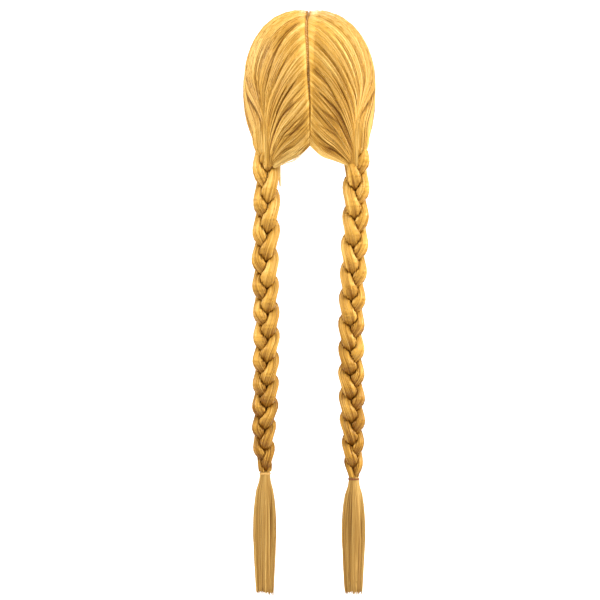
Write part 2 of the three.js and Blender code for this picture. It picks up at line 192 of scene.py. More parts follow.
@dataclass(frozen=True)
class HairFinish:
    """Glossy combed fibre, coloured by the tone and flow that each piece carries."""

    name: str
    deep: tuple[float, float, float]
    body: tuple[float, float, float]
    bright: tuple[float, float, float]
    roughness: float = 0.42
    streaks: float = 1500.0
    run: float = 9.0
    bump: float = 0.22

    def material(self) -> bpy.types.Material:
        """Builds the material, once.

        Returns:
            The material.
        """
        made = bpy.data.materials.get(self.name)
        if made:
            return made
        made = bpy.data.materials.new(self.name)
        made.use_nodes = True
        tree = made.node_tree
        shader = tree.nodes["Principled BSDF"]
        flow = tree.nodes.new("ShaderNodeAttribute")
        flow.attribute_name = "flow"
        # The tone attribute holds the hair's own streaks and also painted shade and highlights
        tone = tree.nodes.new("ShaderNodeAttribute")
        tone.attribute_name = "tone"
        fine = self.streak(tree, flow, self.streaks, self.run)
        broad = self.streak(tree, flow, self.streaks * 0.17, self.run * 0.6)
        blend = tree.nodes.new("ShaderNodeMath")
        blend.operation = "MULTIPLY_ADD"
        blend.inputs[1].default_value = 0.55
        tree.links.new(fine.outputs["Fac"], blend.inputs[0])
        half = tree.nodes.new("ShaderNodeMath")
        half.operation = "MULTIPLY"
        half.inputs[1].default_value = 0.45
        tree.links.new(broad.outputs["Fac"], half.inputs[0])
        tree.links.new(half.outputs[0], blend.inputs[2])
        sum_tone = tree.nodes.new("ShaderNodeMath")
        sum_tone.operation = "MULTIPLY_ADD"
        sum_tone.inputs[1].default_value = 0.5
        tree.links.new(tone.outputs["Fac"], sum_tone.inputs[0])
        offset = tree.nodes.new("ShaderNodeMath")
        offset.operation = "MULTIPLY_ADD"
        offset.inputs[1].default_value = 1.5
        offset.inputs[2].default_value = -0.5
        tree.links.new(blend.outputs[0], offset.inputs[0])
        tree.links.new(offset.outputs[0], sum_tone.inputs[2])
        ramp = tree.nodes.new("ShaderNodeValToRGB")
        ramp.color_ramp.elements[0].position = 0.05
        ramp.color_ramp.elements[0].color = (*self.deep, 1.0)
        ramp.color_ramp.elements[1].position = 0.95
        ramp.color_ramp.elements[1].color = (*self.bright, 1.0)
        middle = ramp.color_ramp.elements.new(0.45)
        middle.color = (*self.body, 1.0)
        tree.links.new(sum_tone.outputs[0], ramp.inputs["Fac"])
        tree.links.new(ramp.outputs["Color"], shader.inputs["Base Color"])
        bump = tree.nodes.new("ShaderNodeBump")
        bump.inputs["Strength"].default_value = self.bump
        bump.inputs["Distance"].default_value = 0.3 * MM
        tree.links.new(fine.outputs["Fac"], bump.inputs["Height"])
        tree.links.new(bump.outputs["Normal"], shader.inputs["Normal"])
        shader.inputs["Roughness"].default_value = self.roughness
        shader.inputs["Specular IOR Level"].default_value = 0.34
        shader.inputs["Specular Tint"].default_value = (1.0, 0.8, 0.45, 1.0)
        return made

    @staticmethod
    def streak(
        tree: bpy.types.NodeTree, flow: bpy.types.Node, across: float, along: float
    ) -> bpy.types.Node:
        """Adds noise drawn out along the hair.

        Args:
            tree: The material's nodes.
            flow: The node that gives metres across and along the hair.
            across: Cells for each metre across.
            along: Cells for each metre along.

        Returns:
            The noise node.
        """
        stretch = tree.nodes.new("ShaderNodeVectorMath")
        stretch.operation = "MULTIPLY"
        stretch.inputs[1].default_value = (across, along, 1.0)
        noise = tree.nodes.new("ShaderNodeTexNoise")
        noise.noise_dimensions = "3D"
        noise.inputs["Scale"].default_value = 1.0
        noise.inputs["Detail"].default_value = 2.0
        tree.links.new(flow.outputs["Vector"], stretch.inputs[0])
        tree.links.new(stretch.outputs["Vector"], noise.inputs["Vector"])
        return noise


@dataclass(frozen=True)
class KnitFinish:
    """A soft knitted or woven fabric with ribs of its own size."""

    name: str
    colour: tuple[float, float, float]
    shade: tuple[float, float, float]
    roughness: float = 0.85
    ribs: float = 900.0
    gloss: float = 0.15

    def material(self) -> bpy.types.Material:
        """Builds the material, once.

        Returns:
            The material.
        """
        made = bpy.data.materials.get(self.name)
        if made:
            return made
        made = bpy.data.materials.new(self.name)
        made.use_nodes = True
        tree = made.node_tree
        shader = tree.nodes["Principled BSDF"]
        place = tree.nodes.new("ShaderNodeTexCoord")
        net = tree.nodes.new("ShaderNodeTexVoronoi")
        net.feature = "DISTANCE_TO_EDGE"
        net.inputs["Scale"].default_value = self.ribs
        tree.links.new(place.outputs["Object"], net.inputs["Vector"])
        ramp = tree.nodes.new("ShaderNodeValToRGB")
        ramp.color_ramp.elements[0].position = 0.04
        ramp.color_ramp.elements[0].color = (*self.colour, 1.0)
        ramp.color_ramp.elements[1].position = 0.3
        ramp.color_ramp.elements[1].color = (*self.shade, 1.0)
        tree.links.new(net.outputs["Distance"], ramp.inputs["Fac"])
        tree.links.new(ramp.outputs["Color"], shader.inputs["Base Color"])
        bump = tree.nodes.new("ShaderNodeBump")
        bump.invert = True
        bump.inputs["Strength"].default_value = 0.5
        bump.inputs["Distance"].default_value = 0.4 * MM
        tree.links.new(net.outputs["Distance"], bump.inputs["Height"])
        tree.links.new(bump.outputs["Normal"], shader.inputs["Normal"])
        shader.inputs["Roughness"].default_value = self.roughness
        shader.inputs["Specular IOR Level"].default_value = self.gloss
        return made


GOLD = HairFinish(
    "golden_hair",
    deep=(0.19, 0.066, 0.004),
    body=(0.61, 0.322, 0.05),
    bright=(0.97, 0.69, 0.235),
    roughness=0.38,
)
DULL_GOLD = HairFinish(
    "golden_tail_hair",
    deep=(0.16, 0.066, 0.01),
    body=(0.42, 0.226, 0.052),
    bright=(0.72, 0.47, 0.15),
    roughness=0.46,
)
LACE = KnitFinish("part_lace", colour=(0.66, 0.34, 0.09), shade=(0.42, 0.18, 0.04), ribs=1100.0)
KNOT = KnitFinish("hair_knot", colour=(0.9, 0.66, 0.34), shade=(0.75, 0.5, 0.22))
NET = KnitFinish("cap_net", colour=(0.46, 0.27, 0.1), shade=(0.14, 0.07, 0.025), ribs=330.0)
PALE_ELASTIC = KnitFinish("pale_elastic", colour=(0.66, 0.4, 0.13), shade=(0.45, 0.23, 0.06))
RUST_ELASTIC = KnitFinish("rust_elastic", colour=(0.25, 0.095, 0.035), shade=(0.14, 0.05, 0.015))


# Meshes


def grid_faces(rows: int, columns: int, wrap: bool) -> Faces:
    """Lists the faces of a grid of points.

    Args:
        rows: Points along the first way.
        columns: Points along the second way.
        wrap: Whether the last column joins the first.

    Returns:
        The faces, anticlockwise from outside where the columns run anticlockwise seen from the
        last row.
    """
    across = columns if wrap else columns - 1
    r, c = np.meshgrid(np.arange(rows - 1), np.arange(across), indexing="ij")
    n = (c + 1) % columns
    corners = [r * columns + c, r * columns + n, (r + 1) * columns + n, (r + 1) * columns + c]
    return np.stack([corner.ravel() for corner in corners], axis=1).tolist()


@dataclass
class Skin:
    """A mesh on its way to becoming a piece: points, faces, and the values that the hair reads."""

    name: str
    points: Points
    faces: Faces
    tone: Points | None = None
    flow: Points | None = None

    def make(self, material: bpy.types.Material, shade_smooth: bool = True) -> bpy.types.Object:
        """Turns the skin into an object.

        Args:
            material: The finish.
            shade_smooth: Whether its faces are shaded smooth.

        Returns:
            The object, linked to the scene.
        """
        mesh = bpy.data.meshes.new(self.name)
        mesh.from_pydata(self.points.reshape(-1, 3).tolist(), [], self.faces)
        mesh.validate()
        if self.tone is not None:
            layer = mesh.attributes.new("tone", "FLOAT", "POINT")
            layer.data.foreach_set("value", self.tone.ravel().astype(np.float32))
        if self.flow is not None:
            layer = mesh.attributes.new("flow", "FLOAT_VECTOR", "POINT")
            layer.data.foreach_set("vector", self.flow.ravel().astype(np.float32))
        mesh.materials.append(material)
        mesh.polygons.foreach_set("use_smooth", [shade_smooth] * len(mesh.polygons))
        mesh.update()
        made = bpy.data.objects.new(self.name, mesh)
        bpy.context.scene.collection.objects.link(made)
        return made


def closed_tube(rings: Points) -> tuple[Points, Faces]:
    """Closes a stack of rings with a fan at each end.

    Args:
        rings: Rows of rings of points, each ring anticlockwise seen from the last one.

    Returns:
        The points and the faces.
    """
    rows, columns = rings.shape[:2]
    faces = grid_faces(rows, columns, wrap=True)
    first, last = rings[0].mean(axis=0), rings[-1].mean(axis=0)
    points = np.vstack([rings.reshape(-1, 3), first, last])
    low, high, base = len(points) - 2, len(points) - 1, (rows - 1) * columns
    for c in range(columns):
        n = (c + 1) % columns
        faces.append((low, n, c))
        faces.append((high, base + c, base + n))
    return points, faces


def with_poles(values: Points, *size: int) -> Points:
    """Adds values for the two end points of a closed tube.

    Args:
        values: The values of the tube's rings.
        size: How many numbers each value has, if more than one.

    Returns:
        The values of all the tube's points.
    """
    flat = values.reshape(-1, *size)
    return np.concatenate([flat, flat[:2]])


@dataclass
class Fibres:
    """Thin fibres laid along paths, made into tubes by Geometry Nodes."""

    name: str
    material: bpy.types.Material
    girth: float = 0.55 * MM
    sides: int = 3

    def tree(self) -> bpy.types.NodeTree:
        """Builds the node group: path mesh in, tubes with the finish out.

        Returns:
            The node group.
        """
        group = bpy.data.node_groups.new(f"{self.name}_tubes", "GeometryNodeTree")
        group.interface.new_socket("Paths", in_out="INPUT", socket_type="NodeSocketGeometry")
        for word, kind in (("Girth", "NodeSocketFloat"), ("Sides", "NodeSocketInt")):
            group.interface.new_socket(word, in_out="INPUT", socket_type=kind)
        group.interface.new_socket("Tubes", in_out="OUTPUT", socket_type="NodeSocketGeometry")
        add, link = group.nodes.new, group.links.new
        start, end = add("NodeGroupInput"), add("NodeGroupOutput")
        curve = add("GeometryNodeMeshToCurve")
        width = add("GeometryNodeInputNamedAttribute")
        width.data_type = "FLOAT"
        width.inputs["Name"].default_value = "taper"
        round_bar = add("GeometryNodeCurvePrimitiveCircle")
        radius = add("ShaderNodeMath")
        radius.operation = "MULTIPLY"
        thick = add("ShaderNodeMath")
        thick.operation = "MULTIPLY"
        thick.inputs[1].default_value = 0.5
        set_radius = add("GeometryNodeSetCurveRadius")
        tube = add("GeometryNodeCurveToMesh")
        tube.inputs["Fill Caps"].default_value = False
        finish = add("GeometryNodeSetMaterial")
        finish.inputs["Material"].default_value = self.material
        real = add("GeometryNodeRealizeInstances")
        link(start.outputs["Paths"], curve.inputs["Mesh"])
        link(start.outputs["Girth"], thick.inputs[0])
        link(thick.outputs[0], radius.inputs[0])
        link(width.outputs["Attribute"], radius.inputs[1])
        link(start.outputs["Sides"], round_bar.inputs["Resolution"])
        round_bar.inputs["Radius"].default_value = 1.0
        link(curve.outputs["Curve"], set_radius.inputs["Curve"])
        link(radius.outputs[0], set_radius.inputs["Radius"])
        link(set_radius.outputs["Curve"], tube.inputs["Curve"])
        link(round_bar.outputs["Curve"], tube.inputs["Profile Curve"])
        if "Scale" in tube.inputs:
            link(radius.outputs[0], tube.inputs["Scale"])
        link(tube.outputs["Mesh"], real.inputs["Geometry"])
        link(real.outputs["Geometry"], finish.inputs["Geometry"])
        link(finish.outputs["Geometry"], end.inputs["Tubes"])
        return group

    def make(self, paths: Points, tone: Points, flow: Points, taper: Points) -> bpy.types.Object:
        """Lays the fibres.

        Args:
            paths: Points of each path, as paths by points by three.
            tone: The tone of each point.
            flow: Metres across and along the hair at each point.
            taper: The girth of each point as a share of the full girth.

        Returns:
            One mesh of all the tubes, linked to the scene.
        """
        count, steps = paths.shape[:2]
        base = np.arange(count)[:, None] * steps + np.arange(steps - 1)[None, :]
        edges = np.stack([base.ravel(), base.ravel() + 1], axis=1).tolist()
        mesh = bpy.data.meshes.new(f"{self.name}_paths")
        mesh.from_pydata(paths.reshape(-1, 3).tolist(), edges, [])
        for word, values in (("tone", tone), ("taper", taper)):
            layer = mesh.attributes.new(word, "FLOAT", "POINT")
            layer.data.foreach_set("value", values.ravel().astype(np.float32))
        layer = mesh.attributes.new("flow", "FLOAT_VECTOR", "POINT")
        layer.data.foreach_set("vector", flow.ravel().astype(np.float32))
        values = {"Girth": self.girth, "Sides": self.sides}
        return run_nodes(self.name, mesh, self.tree(), values)


@dataclass
class Beads:
    """Small round beads, set on points by Geometry Nodes."""

    name: str
    material: bpy.types.Material
    radius: float

    def make(self, seats: Points) -> bpy.types.Object:
        """Sets the beads.

        Args:
            seats: The middle of each bead.

        Returns:
            One mesh of all the beads, linked to the scene.
        """
        group = bpy.data.node_groups.new(f"{self.name}_beads", "GeometryNodeTree")
        group.interface.new_socket("Seats", in_out="INPUT", socket_type="NodeSocketGeometry")
        group.interface.new_socket("Radius", in_out="INPUT", socket_type="NodeSocketFloat")
        group.interface.new_socket("Beads", in_out="OUTPUT", socket_type="NodeSocketGeometry")
        add, link = group.nodes.new, group.links.new
        start, end = add("NodeGroupInput"), add("NodeGroupOutput")
        ball = add("GeometryNodeMeshIcoSphere")
        ball.inputs["Subdivisions"].default_value = 2
        copies = add("GeometryNodeInstanceOnPoints")
        real = add("GeometryNodeRealizeInstances")
        finish = add("GeometryNodeSetMaterial")
        finish.inputs["Material"].default_value = self.material
        link(start.outputs["Radius"], ball.inputs["Radius"])
        link(start.outputs["Seats"], copies.inputs["Points"])
        link(ball.outputs["Mesh"], copies.inputs["Instance"])
        link(copies.outputs["Instances"], real.inputs["Geometry"])
        link(real.outputs["Geometry"], finish.inputs["Geometry"])
        link(finish.outputs["Geometry"], end.inputs["Beads"])
        mesh = bpy.data.meshes.new(f"{self.name}_seats")
        mesh.from_pydata(seats.tolist(), [], [])
        return run_nodes(self.name, mesh, group, {"Radius": self.radius})


def run_nodes(
    name: str, mesh: bpy.types.Mesh, group: bpy.types.NodeTree, values: dict[str, float]
) -> bpy.types.Object:
    """Runs a node group on a mesh and keeps the result as a plain object.

    Args:
        name: The object's name.
        mesh: The mesh that goes in, removed afterwards.
        group: The node group.
        values: Its named inputs.

    Returns:
        The object, linked to the scene.
    """
    source = bpy.data.objects.new(f"{name}_source", mesh)
    bpy.context.scene.collection.objects.link(source)
    modifier = source.modifiers.new("nodes", "NODES")
    modifier.node_group = group
    sockets = {s.name: s.identifier for s in group.interface.items_tree if s.in_out == "INPUT"}
    for word, value in values.items():
        modifier[sockets[word]] = value
    ready = source.evaluated_get(bpy.context.evaluated_depsgraph_get())
    result = bpy.data.meshes.new_from_object(ready)
    result.name = name
    source.modifiers.remove(modifier)
    bpy.data.objects.remove(source)
    bpy.data.meshes.remove(mesh)
    result.polygons.foreach_set("use_smooth", [True] * len(result.polygons))
    made = bpy.data.objects.new(name, result)
    bpy.context.scene.collection.objects.link(made)
    return made


def settle(piece: bpy.types.Object, slot: str, *nodes: str) -> None:
    """Gives a piece its body and hides the nodes that it stands for.

    Args:
        piece: The piece.
        slot: Not used.
        *nodes: The CAD nodes that it replaces.
    """
    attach(piece, BODY)
    if nodes:
        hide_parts(*nodes)
    LOG.info("%s: %d faces", piece.name, len(piece.data.polygons))


# Head and cap


@dataclass(frozen=True)
class Head:
    """The rounded form that the cap is made for."""

    width: float = 144 * MM
    length: float = 188 * MM
    crown_rise: float = 92 * MM
    nape_depth: float = 96 * MM
    plan_power: float = 2.2
    profile_power: float = 2.45

    def point(
        self,
        direction: Points,
        offset: float,
        lift: Points | float = 0.0,
        fall: float | None = None,
    ) -> Points:
        """Finds a point over the form.

        Args:
            direction: Directions from the head's centre.
            offset: How much wider, longer and taller the form is made.
            lift: How far above that form the point lies.
            fall: Depth at which the form closes, if not the head's own.

        Returns:
            The points.
        """
        ray = unit(direction)
        across = np.abs(ray[..., 0]) / (self.width / 2 + offset)
        along = np.abs(ray[..., 1]) / (self.length / 2 + offset)
        height = np.where(ray[..., 2] > 0, self.crown_rise, fall or self.nape_depth) + offset
        plan = across**self.plan_power + along**self.plan_power
        full = plan ** (self.profile_power / self.plan_power)
        full = full + (np.abs(ray[..., 2]) / height) ** self.profile_power
        radius = full ** (-1.0 / self.profile_power) + lift
        return ray * radius[..., None] - np.array([0.0, 0.0, self.crown_rise])


HEAD = Head()


@dataclass
class Cap:
    """The net cap, with a bound edge and rows of sewn hair inside."""

    wall: float = 1.6 * MM
    columns: int = 150
    rows: int = 60
    binding: float = 1.3 * MM
    weft_rows: int = 13
    weft_girth: float = 2.6 * MM
    weft_rise: float = 0.7 * MM
    # The edge seen from the side: share of half the length back, and of the crown's rise down
    edge: tuple[tuple[float, float], ...] = (
        (-0.86, 0.43),
        (-0.62, 0.7),
        (-0.36, 1.1),
        (-0.12, 1.24),
        (0.12, 1.2),
        (0.34, 1.5),
        (0.56, 1.66),
        (0.8, 1.62),
    )

    def edge_height(self, back: Points) -> Points:
        """Height of the cap's edge at a place along the head.

        Args:
            back: Y of the place.

        Returns:
            Z of the edge.
        """
        share = back / (HEAD.length / 2)
        drop = look_up((b for b, _ in self.edge), (d for _, d in self.edge), share)
        return -HEAD.crown_rise * drop

    def lowest(self, turn: Points) -> Points:
        """How far down the cap reaches at each turn round the head.

        Args:
            turn: Angles round the head, from +X towards +Y.

        Returns:
            The angle down from the crown at which the cap ends.
        """
        low, high = np.full_like(turn, 0.3), np.full_like(turn, 3.0)
        for _ in range(40):
            middle = (low + high) / 2
            place = HEAD.point(self.ray(turn, middle), 0.0)
            above = place[..., 2] > self.edge_height(place[..., 1])
            low, high = np.where(above, middle, low), np.where(above, high, middle)
        return low

    @staticmethod
    def ray(turn: Points, down: Points) -> Points:
        """Direction from the head's centre.

        Args:
            turn: Angle round the head.
            down: Angle down from the crown.

        Returns:
            The direction.
        """
        turn, down = np.broadcast_arrays(turn, down)
        flat = np.sin(down)
        return np.stack([flat * np.cos(turn), flat * np.sin(turn), np.cos(down)], axis=-1)

    def build(self) -> list[bpy.types.Object]:
        """Makes the shell and its binding.

        Returns:
            The pieces.
        """
        turn = np.linspace(0, 2 * math.pi, self.columns, endpoint=False)
        reach = self.lowest(turn)
        share = np.linspace(0.02, 1.0, self.rows)[:, None]
        down = share * reach[None, :]
        rows = np.arange(self.rows)[:, None]
        outer = HEAD.point(self.ray(turn[None, :], down), self.wall)
        weft = self.weft_rise * np.abs(np.sin(share * math.pi * self.weft_rows)) ** 6
        inner = HEAD.point(self.ray(turn[None, :], down), 0.0, 0.4 * weft * (rows < self.rows - 2))
        rings = np.concatenate([outer[:, ::-1], inner[::-1, ::-1]], axis=0)
        points, faces = closed_tube(rings)
        shell = Skin("cap_shell", points, faces).make(NET.material())
        settle(shell, "cap", "cap")
        paths = HEAD.point(self.ray(turn, reach), self.wall / 2)
        loop = np.concatenate([paths, paths[:1]])[None, :, :]
        blank = np.zeros(loop.shape[:2])
        binding = Fibres("cap_binding", NET.material(), girth=2 * self.binding, sides=8)
        edge = binding.make(loop, blank, np.zeros_like(loop), blank + 1.0)
        settle(edge, "cap")
        return [shell, edge, self.wefts(turn, reach)]

    def wefts(self, turn: Points, reach: Points) -> bpy.types.Object:
        """Sews rows of gathered hair round the inside of the shell.

        Args:
            turn: Angles round the head.
            reach: Angle down from the crown at which the cap ends, for each turn.

        Returns:
            The piece.
        """
        share = ((np.arange(self.weft_rows) + 1.0) / (self.weft_rows + 1.0))[:, None]
        path = HEAD.point(self.ray(turn[None, :], share * reach[None, :]), 0.2 * MM)
        loops = np.concatenate([path, path[:, :1]], axis=1)
        blank = np.zeros(loops.shape[:2]) + 0.7
        along = np.linspace(0, 0.6, loops.shape[1])[None, :] + 0 * blank
        flow = np.stack([0 * blank, along, 0 * blank], axis=-1)
        rows = Fibres("cap_wefts", DULL_GOLD.material(), girth=self.weft_girth, sides=6)
        piece = rows.make(loops, blank, flow, blank * 0 + 1.0)
        settle(piece, "hair")
        return piece


# Plaits


@dataclass
class Plait:
    """One three-strand plait and where its strands run."""

    side: Side
    drop: float
    lobes: float
    quicken: float
    start: float
    sway: tuple[float, ...]
    width: float = 32 * MM
    depth: float = 25 * MM
    turn: float = math.radians(20)
    spread: float = 57 * MM
    back: float = 51 * MM
    top: float = 172 * MM
    strand_width: float = 0.5
    strand_slant: float = 0.45
    strand_depth: float = 0.55
    strand_bulge: float = 0.25
    strand_gap: float = 0.5 * MM
    wrap: float = 20 * MM
    wrap_core: float = 0.5
    wrap_from: float = math.radians(97)
    wrap_to: float = math.radians(190)
    taper: tuple[tuple[float, float], ...] = (
        (0, 0.88),
        (0.05, 0.98),
        (0.3, 1),
        (0.8, 0.96),
        (0.94, 0.78),
        (1, 0.46),
    )
    wrap_edge: float = math.radians(8)
    wrap_end: float = 5 * MM
    tuck_end: float = 4 * MM
    uncovered: float = 2.0

    def centre(self, along: Points) -> Points:
        """X of the plait's middle line.

        Args:
            along: Share of the way from root to tie.

        Returns:
            The X.
        """
        step = np.clip(along, 0, 1) * (len(self.sway) - 1)
        low = np.minimum(np.floor(step).astype(int), len(self.sway) - 2)
        table = np.asarray(self.sway)
        sway = mix(table[low], table[low + 1], smooth(step - low))
        return (self.spread + sway * self.width) * self.side.value

    def place(self, lobe: Points) -> Points:
        """Share of the plait's length at which a lobe is reached.

        Args:
            lobe: Lobes from the root.

        Returns:
            The share.
        """
        slow = self.lobes - self.quicken
        root = np.sqrt(slow * slow + 4 * self.quicken * np.maximum(lobe, 0.0))
        return np.where(lobe < 0, lobe / slow, (root - slow) / (2 * self.quicken))

    def width_at(self, along: Points) -> Points:
        """Share of the full width at a place.

        Args:
            along: Share of the way from root to tie.

        Returns:
            The share of the width.
        """
        return look_up((a for a, _ in self.taper), (w for _, w in self.taper), along)

    def cut(self, lobe: Points, strand: int) -> tuple[Points, Points, Points]:
        """A strand's centre and reach in the plait's own level cut.

        Args:
            lobe: Lobes from the root.
            strand: Which of the three.

        Returns:
            The centre, the reach sideways and the reach in depth.
        """
        phase = 2 * math.pi * (lobe + self.start + strand) / 3
        width = self.width_at(self.place(lobe))
        half_width, half_depth = self.width / 2 * width, self.depth / 2 * width
        at_edge = np.sin(phase) ** 2
        centre = np.stack(
            [
                half_width * (1 - self.strand_width) * np.sin(phase),
                -half_depth * (1 - self.strand_depth) * np.sin(2 * phase),
            ],
            axis=-1,
        )
        reach_x = half_width * self.strand_width * (1 + self.strand_slant * (1 - at_edge))
        reach_y = half_depth * (self.strand_depth + self.strand_bulge * at_edge)
        return centre, reach_x, reach_y

    def radius(self, lobe: Points, angle: Points, strand: int) -> tuple[Points, Points]:
        """How far a strand's skin lies from its own middle, beside the other two.

        Args:
            lobe: Lobes from the root, one for each point.
            angle: Angle round the strand, one for each point.
            strand: Which of the three.

        Returns:
            The radius, and how hard the other strands press there, from 0 to 1.
        """
        centre, reach_x, reach_y = self.cut(lobe, strand)
        ray = np.stack([np.cos(angle), np.sin(angle)], axis=-1)
        reach = 1 / np.hypot(ray[..., 0] / reach_x, ray[..., 1] / reach_y)
        inverse = reach**-8.0
        for other in range(3):
            if other == strand:
                continue
            apart = self.cut(lobe, other)[0] - centre
            far = np.linalg.norm(apart, axis=-1)
            facing = (ray * apart).sum(axis=-1) / far
            free = (far - self.strand_gap) / 2
            inverse = inverse + np.where(facing > 0.02, np.maximum(facing, 0.02) / free, 0.0) ** 8
        radius = inverse ** (-1 / 8)
        return radius, 1 - radius / reach

    def outline(self, lobe: Points, angle: Points, strand: int, lift: Points | float) -> Points:
        """Points on a strand.

        Args:
            lobe: Lobes from the root, one for each point.
            angle: Angle round the strand, one for each point.
            strand: Which of the three.
            lift: How far above the strand's skin.

        Returns:
            The points in the object's frame.
        """
        centre = self.cut(lobe, strand)[0]
        ray = np.stack([np.cos(angle), np.sin(angle)], axis=-1)
        radius = self.radius(lobe, angle, strand)[0] + lift
        flat = self.give_way(centre + ray * radius[..., None], lobe)
        return self.lay(flat, self.place(lobe))

    def give_way(self, flat: Points, lobe: Points) -> Points:
        """Draws a strand's top in, under the swept hair that runs on over it.

        Args:
            flat: Points of the level cut, outwards and back.
            lobe: Lobes from the root.

        Returns:
            The points, drawn in where the hair covers them.
        """
        down = self.place(lobe) * (self.drop - self.top)
        angle = np.arctan2(flat[..., 1] / self.depth, flat[..., 0] / self.width)
        angle = np.where(angle < -math.pi / 2, angle + 2 * math.pi, angle)
        beside = np.minimum(angle - self.wrap_from, self.wrap_to - angle) / self.wrap_edge
        covered = smooth(beside) * smooth((self.wrap - down) / self.wrap_end)
        covered = np.maximum(covered, smooth(-down / self.tuck_end))
        reach = np.hypot(flat[..., 0] / (self.width / 2), flat[..., 1] / (self.depth / 2))
        held = np.minimum(reach, mix(self.uncovered, self.wrap_core, covered))
        return flat * (held / np.maximum(reach, 1e-6))[..., None]

    def lay(self, flat: Points, along: Points) -> Points:
        """Takes points of the plait's own level cut into the object's frame.

        Args:
            flat: The points, outwards and back.
            along: Share of the way from root to tie.

        Returns:
            The points in the object's frame.
        """
        sign = self.side.value
        turn = self.turn * sign
        x, y = flat[..., 0] * sign, flat[..., 1]
        level = mix(-self.top, -self.drop, along)
        return np.stack(
            [
                self.centre(along) + x * math.cos(turn) + y * math.sin(turn),
                self.back - x * math.sin(turn) + y * math.cos(turn),
                level,
            ],
            axis=-1,
        )


@dataclass
class Strand:
    """One strand of a plait: a rounded, combed body with fibres laid along it."""

    plait: Plait
    number: int
    steps: int = 9
    sides: int = 40
    tuck: float = 0.3
    groove: float = 0.45 * MM
    fibres: int = 56
    fibre_steps: int = 6
    fibre_girth: float = 0.6 * MM
    # The lobe, low, groove and press weights paint light and shade on the strand; the line weights
    # give its own dark lines
    base_tone: float = 0.38
    lobe_highlight: float = 0.46
    lobe_shade: float = 0.26
    line_tone: float = 0.3
    line_width: float = 0.2
    low_shade: float = 0.42
    low_from: float = 0.15
    groove_shade: float = 0.2
    pressed_shade: float = 1.8
    press_full: float = 0.32

    @property
    def name(self) -> str:
        """The strand's node name."""
        return f"braid_strand_{'abc'[self.number]}_{self.plait.side.word}"

    def relief(self, lobe: Points, angle: Points) -> Points:
        """Combed grooves over the strand.

        Args:
            lobe: Lobes from the root.
            angle: Angle round the strand.

        Returns:
            Height over the smooth strand.
        """
        seed = 10 * self.number + (5 if self.plait.side is Side.LEFT else 0)
        ripple = Ripple(seed)
        turn = angle / (2 * math.pi) * 16
        broad = ripple(turn, lobe * 0.55)
        fine = ripple(turn * 3 + 7, lobe * 0.8 + 20)
        return self.groove * (broad + 0.55 * fine)

    def shade(self, lobe: Points, angle: Points, relief: Points) -> Points:
        """Tone of the strand, with painted shade in its grooves and where it dives under the
        others.

        Args:
            lobe: Lobes from the root.
            angle: Angle round the strand.
            relief: Height over the smooth strand.

        Returns:
            The tone.
        """
        press = self.plait.radius(lobe, angle, self.number)[1]
        phase = 2 * math.pi * (lobe + self.plait.start + self.number) / 3
        lines = Ripple(40 + self.number)(angle / (2 * math.pi) * 32, lobe * 0.7)
        # Painted highlight where the strand swings out to the plait's side, painted shade where it
        # crosses the middle
        crest = self.lobe_highlight * np.sin(phase) ** 2 - self.lobe_shade
        crest = crest - self.line_tone * hump(lines, 0.0, self.line_width)
        # Painted shade towards the plait's lower end, where the other strands press on it and in
        # the grooves, with painted highlight on the ridges
        low = self.low_shade * smooth((self.plait.place(lobe) - self.low_from) / (1 - self.low_from))
        pressed = self.pressed_shade * smooth(press / self.press_full)
        return self.base_tone + crest - low + self.groove_shade * relief / self.groove - pressed

    def build(self) -> list[bpy.types.Object]:
        """Makes the strand.

        Returns:
            The pieces.
        """
        plait = self.plait
        count = int((plait.lobes + self.tuck) * self.steps)
        lobe = np.linspace(-self.tuck, plait.lobes, count)[:, None]
        angle = np.linspace(0, 2 * math.pi, self.sides, endpoint=False)[None, :]
        lobe_all, angle_all = np.broadcast_arrays(lobe, angle)
        relief = self.relief(lobe_all, angle_all)
        rings = plait.outline(lobe_all, angle_all, self.number, relief)
        tone = self.shade(lobe_all, angle_all, relief)
        if plait.side is Side.LEFT:
            rings = rings[:, ::-1]
            tone = tone[:, ::-1]
        points, faces = closed_tube(rings)
        length = (plait.drop - plait.top) * 1.3
        flow = np.stack(
            [
                angle_all * 8 * MM + self.number,
                plait.place(lobe_all) * length,
                np.zeros_like(lobe_all),
            ],
            axis=-1,
        )
        skin = Skin(self.name + "_body", points, faces, with_poles(tone), with_poles(flow, 3))
        body = skin.make(GOLD.material())
        settle(body, "hair", self.name)
        cover = self.lay_fibres(length)
        settle(cover, "hair")
        return [body, cover]

    def lay_fibres(self, length: float) -> bpy.types.Object:
        """Lays fibres along the strand.

        Args:
            length: The strand's length in metres, for the streaks.

        Returns:
            The piece.
        """
        plait = self.plait
        random = np.random.RandomState(100 + self.number + 10 * plait.side.value)
        steps = int((plait.lobes + self.tuck) * self.fibre_steps)
        lobe = np.linspace(-self.tuck, plait.lobes, steps)[None, :]
        base = np.arange(self.fibres)[:, None] / self.fibres
        drift = Ripple(31)(np.arange(self.fibres)[:, None] * 1.37, lobe * 0.35)
        angle = 2 * math.pi * (base + 0.03 * drift)
        lift = random.uniform(-0.15, 0.3, (self.fibres, 1)) * MM
        lobe, angle = np.broadcast_arrays(lobe, angle)
        height = self.relief(lobe, angle) + lift
        paths = plait.outline(lobe, angle, self.number, height)
        tone = self.shade(lobe, angle, height) + random.uniform(-0.32, 0.4, (self.fibres, 1))
        across = np.broadcast_to(random.uniform(0, 1, (self.fibres, 1)), lobe.shape)
        flow = np.stack([across, plait.place(lobe) * length, np.zeros_like(lobe)], axis=-1)
        taper = np.ones_like(lobe)
        fibres = Fibres(self.name + "_fibres", GOLD.material(), girth=self.fibre_girth)
        return fibres.make(paths, tone, flow, taper)


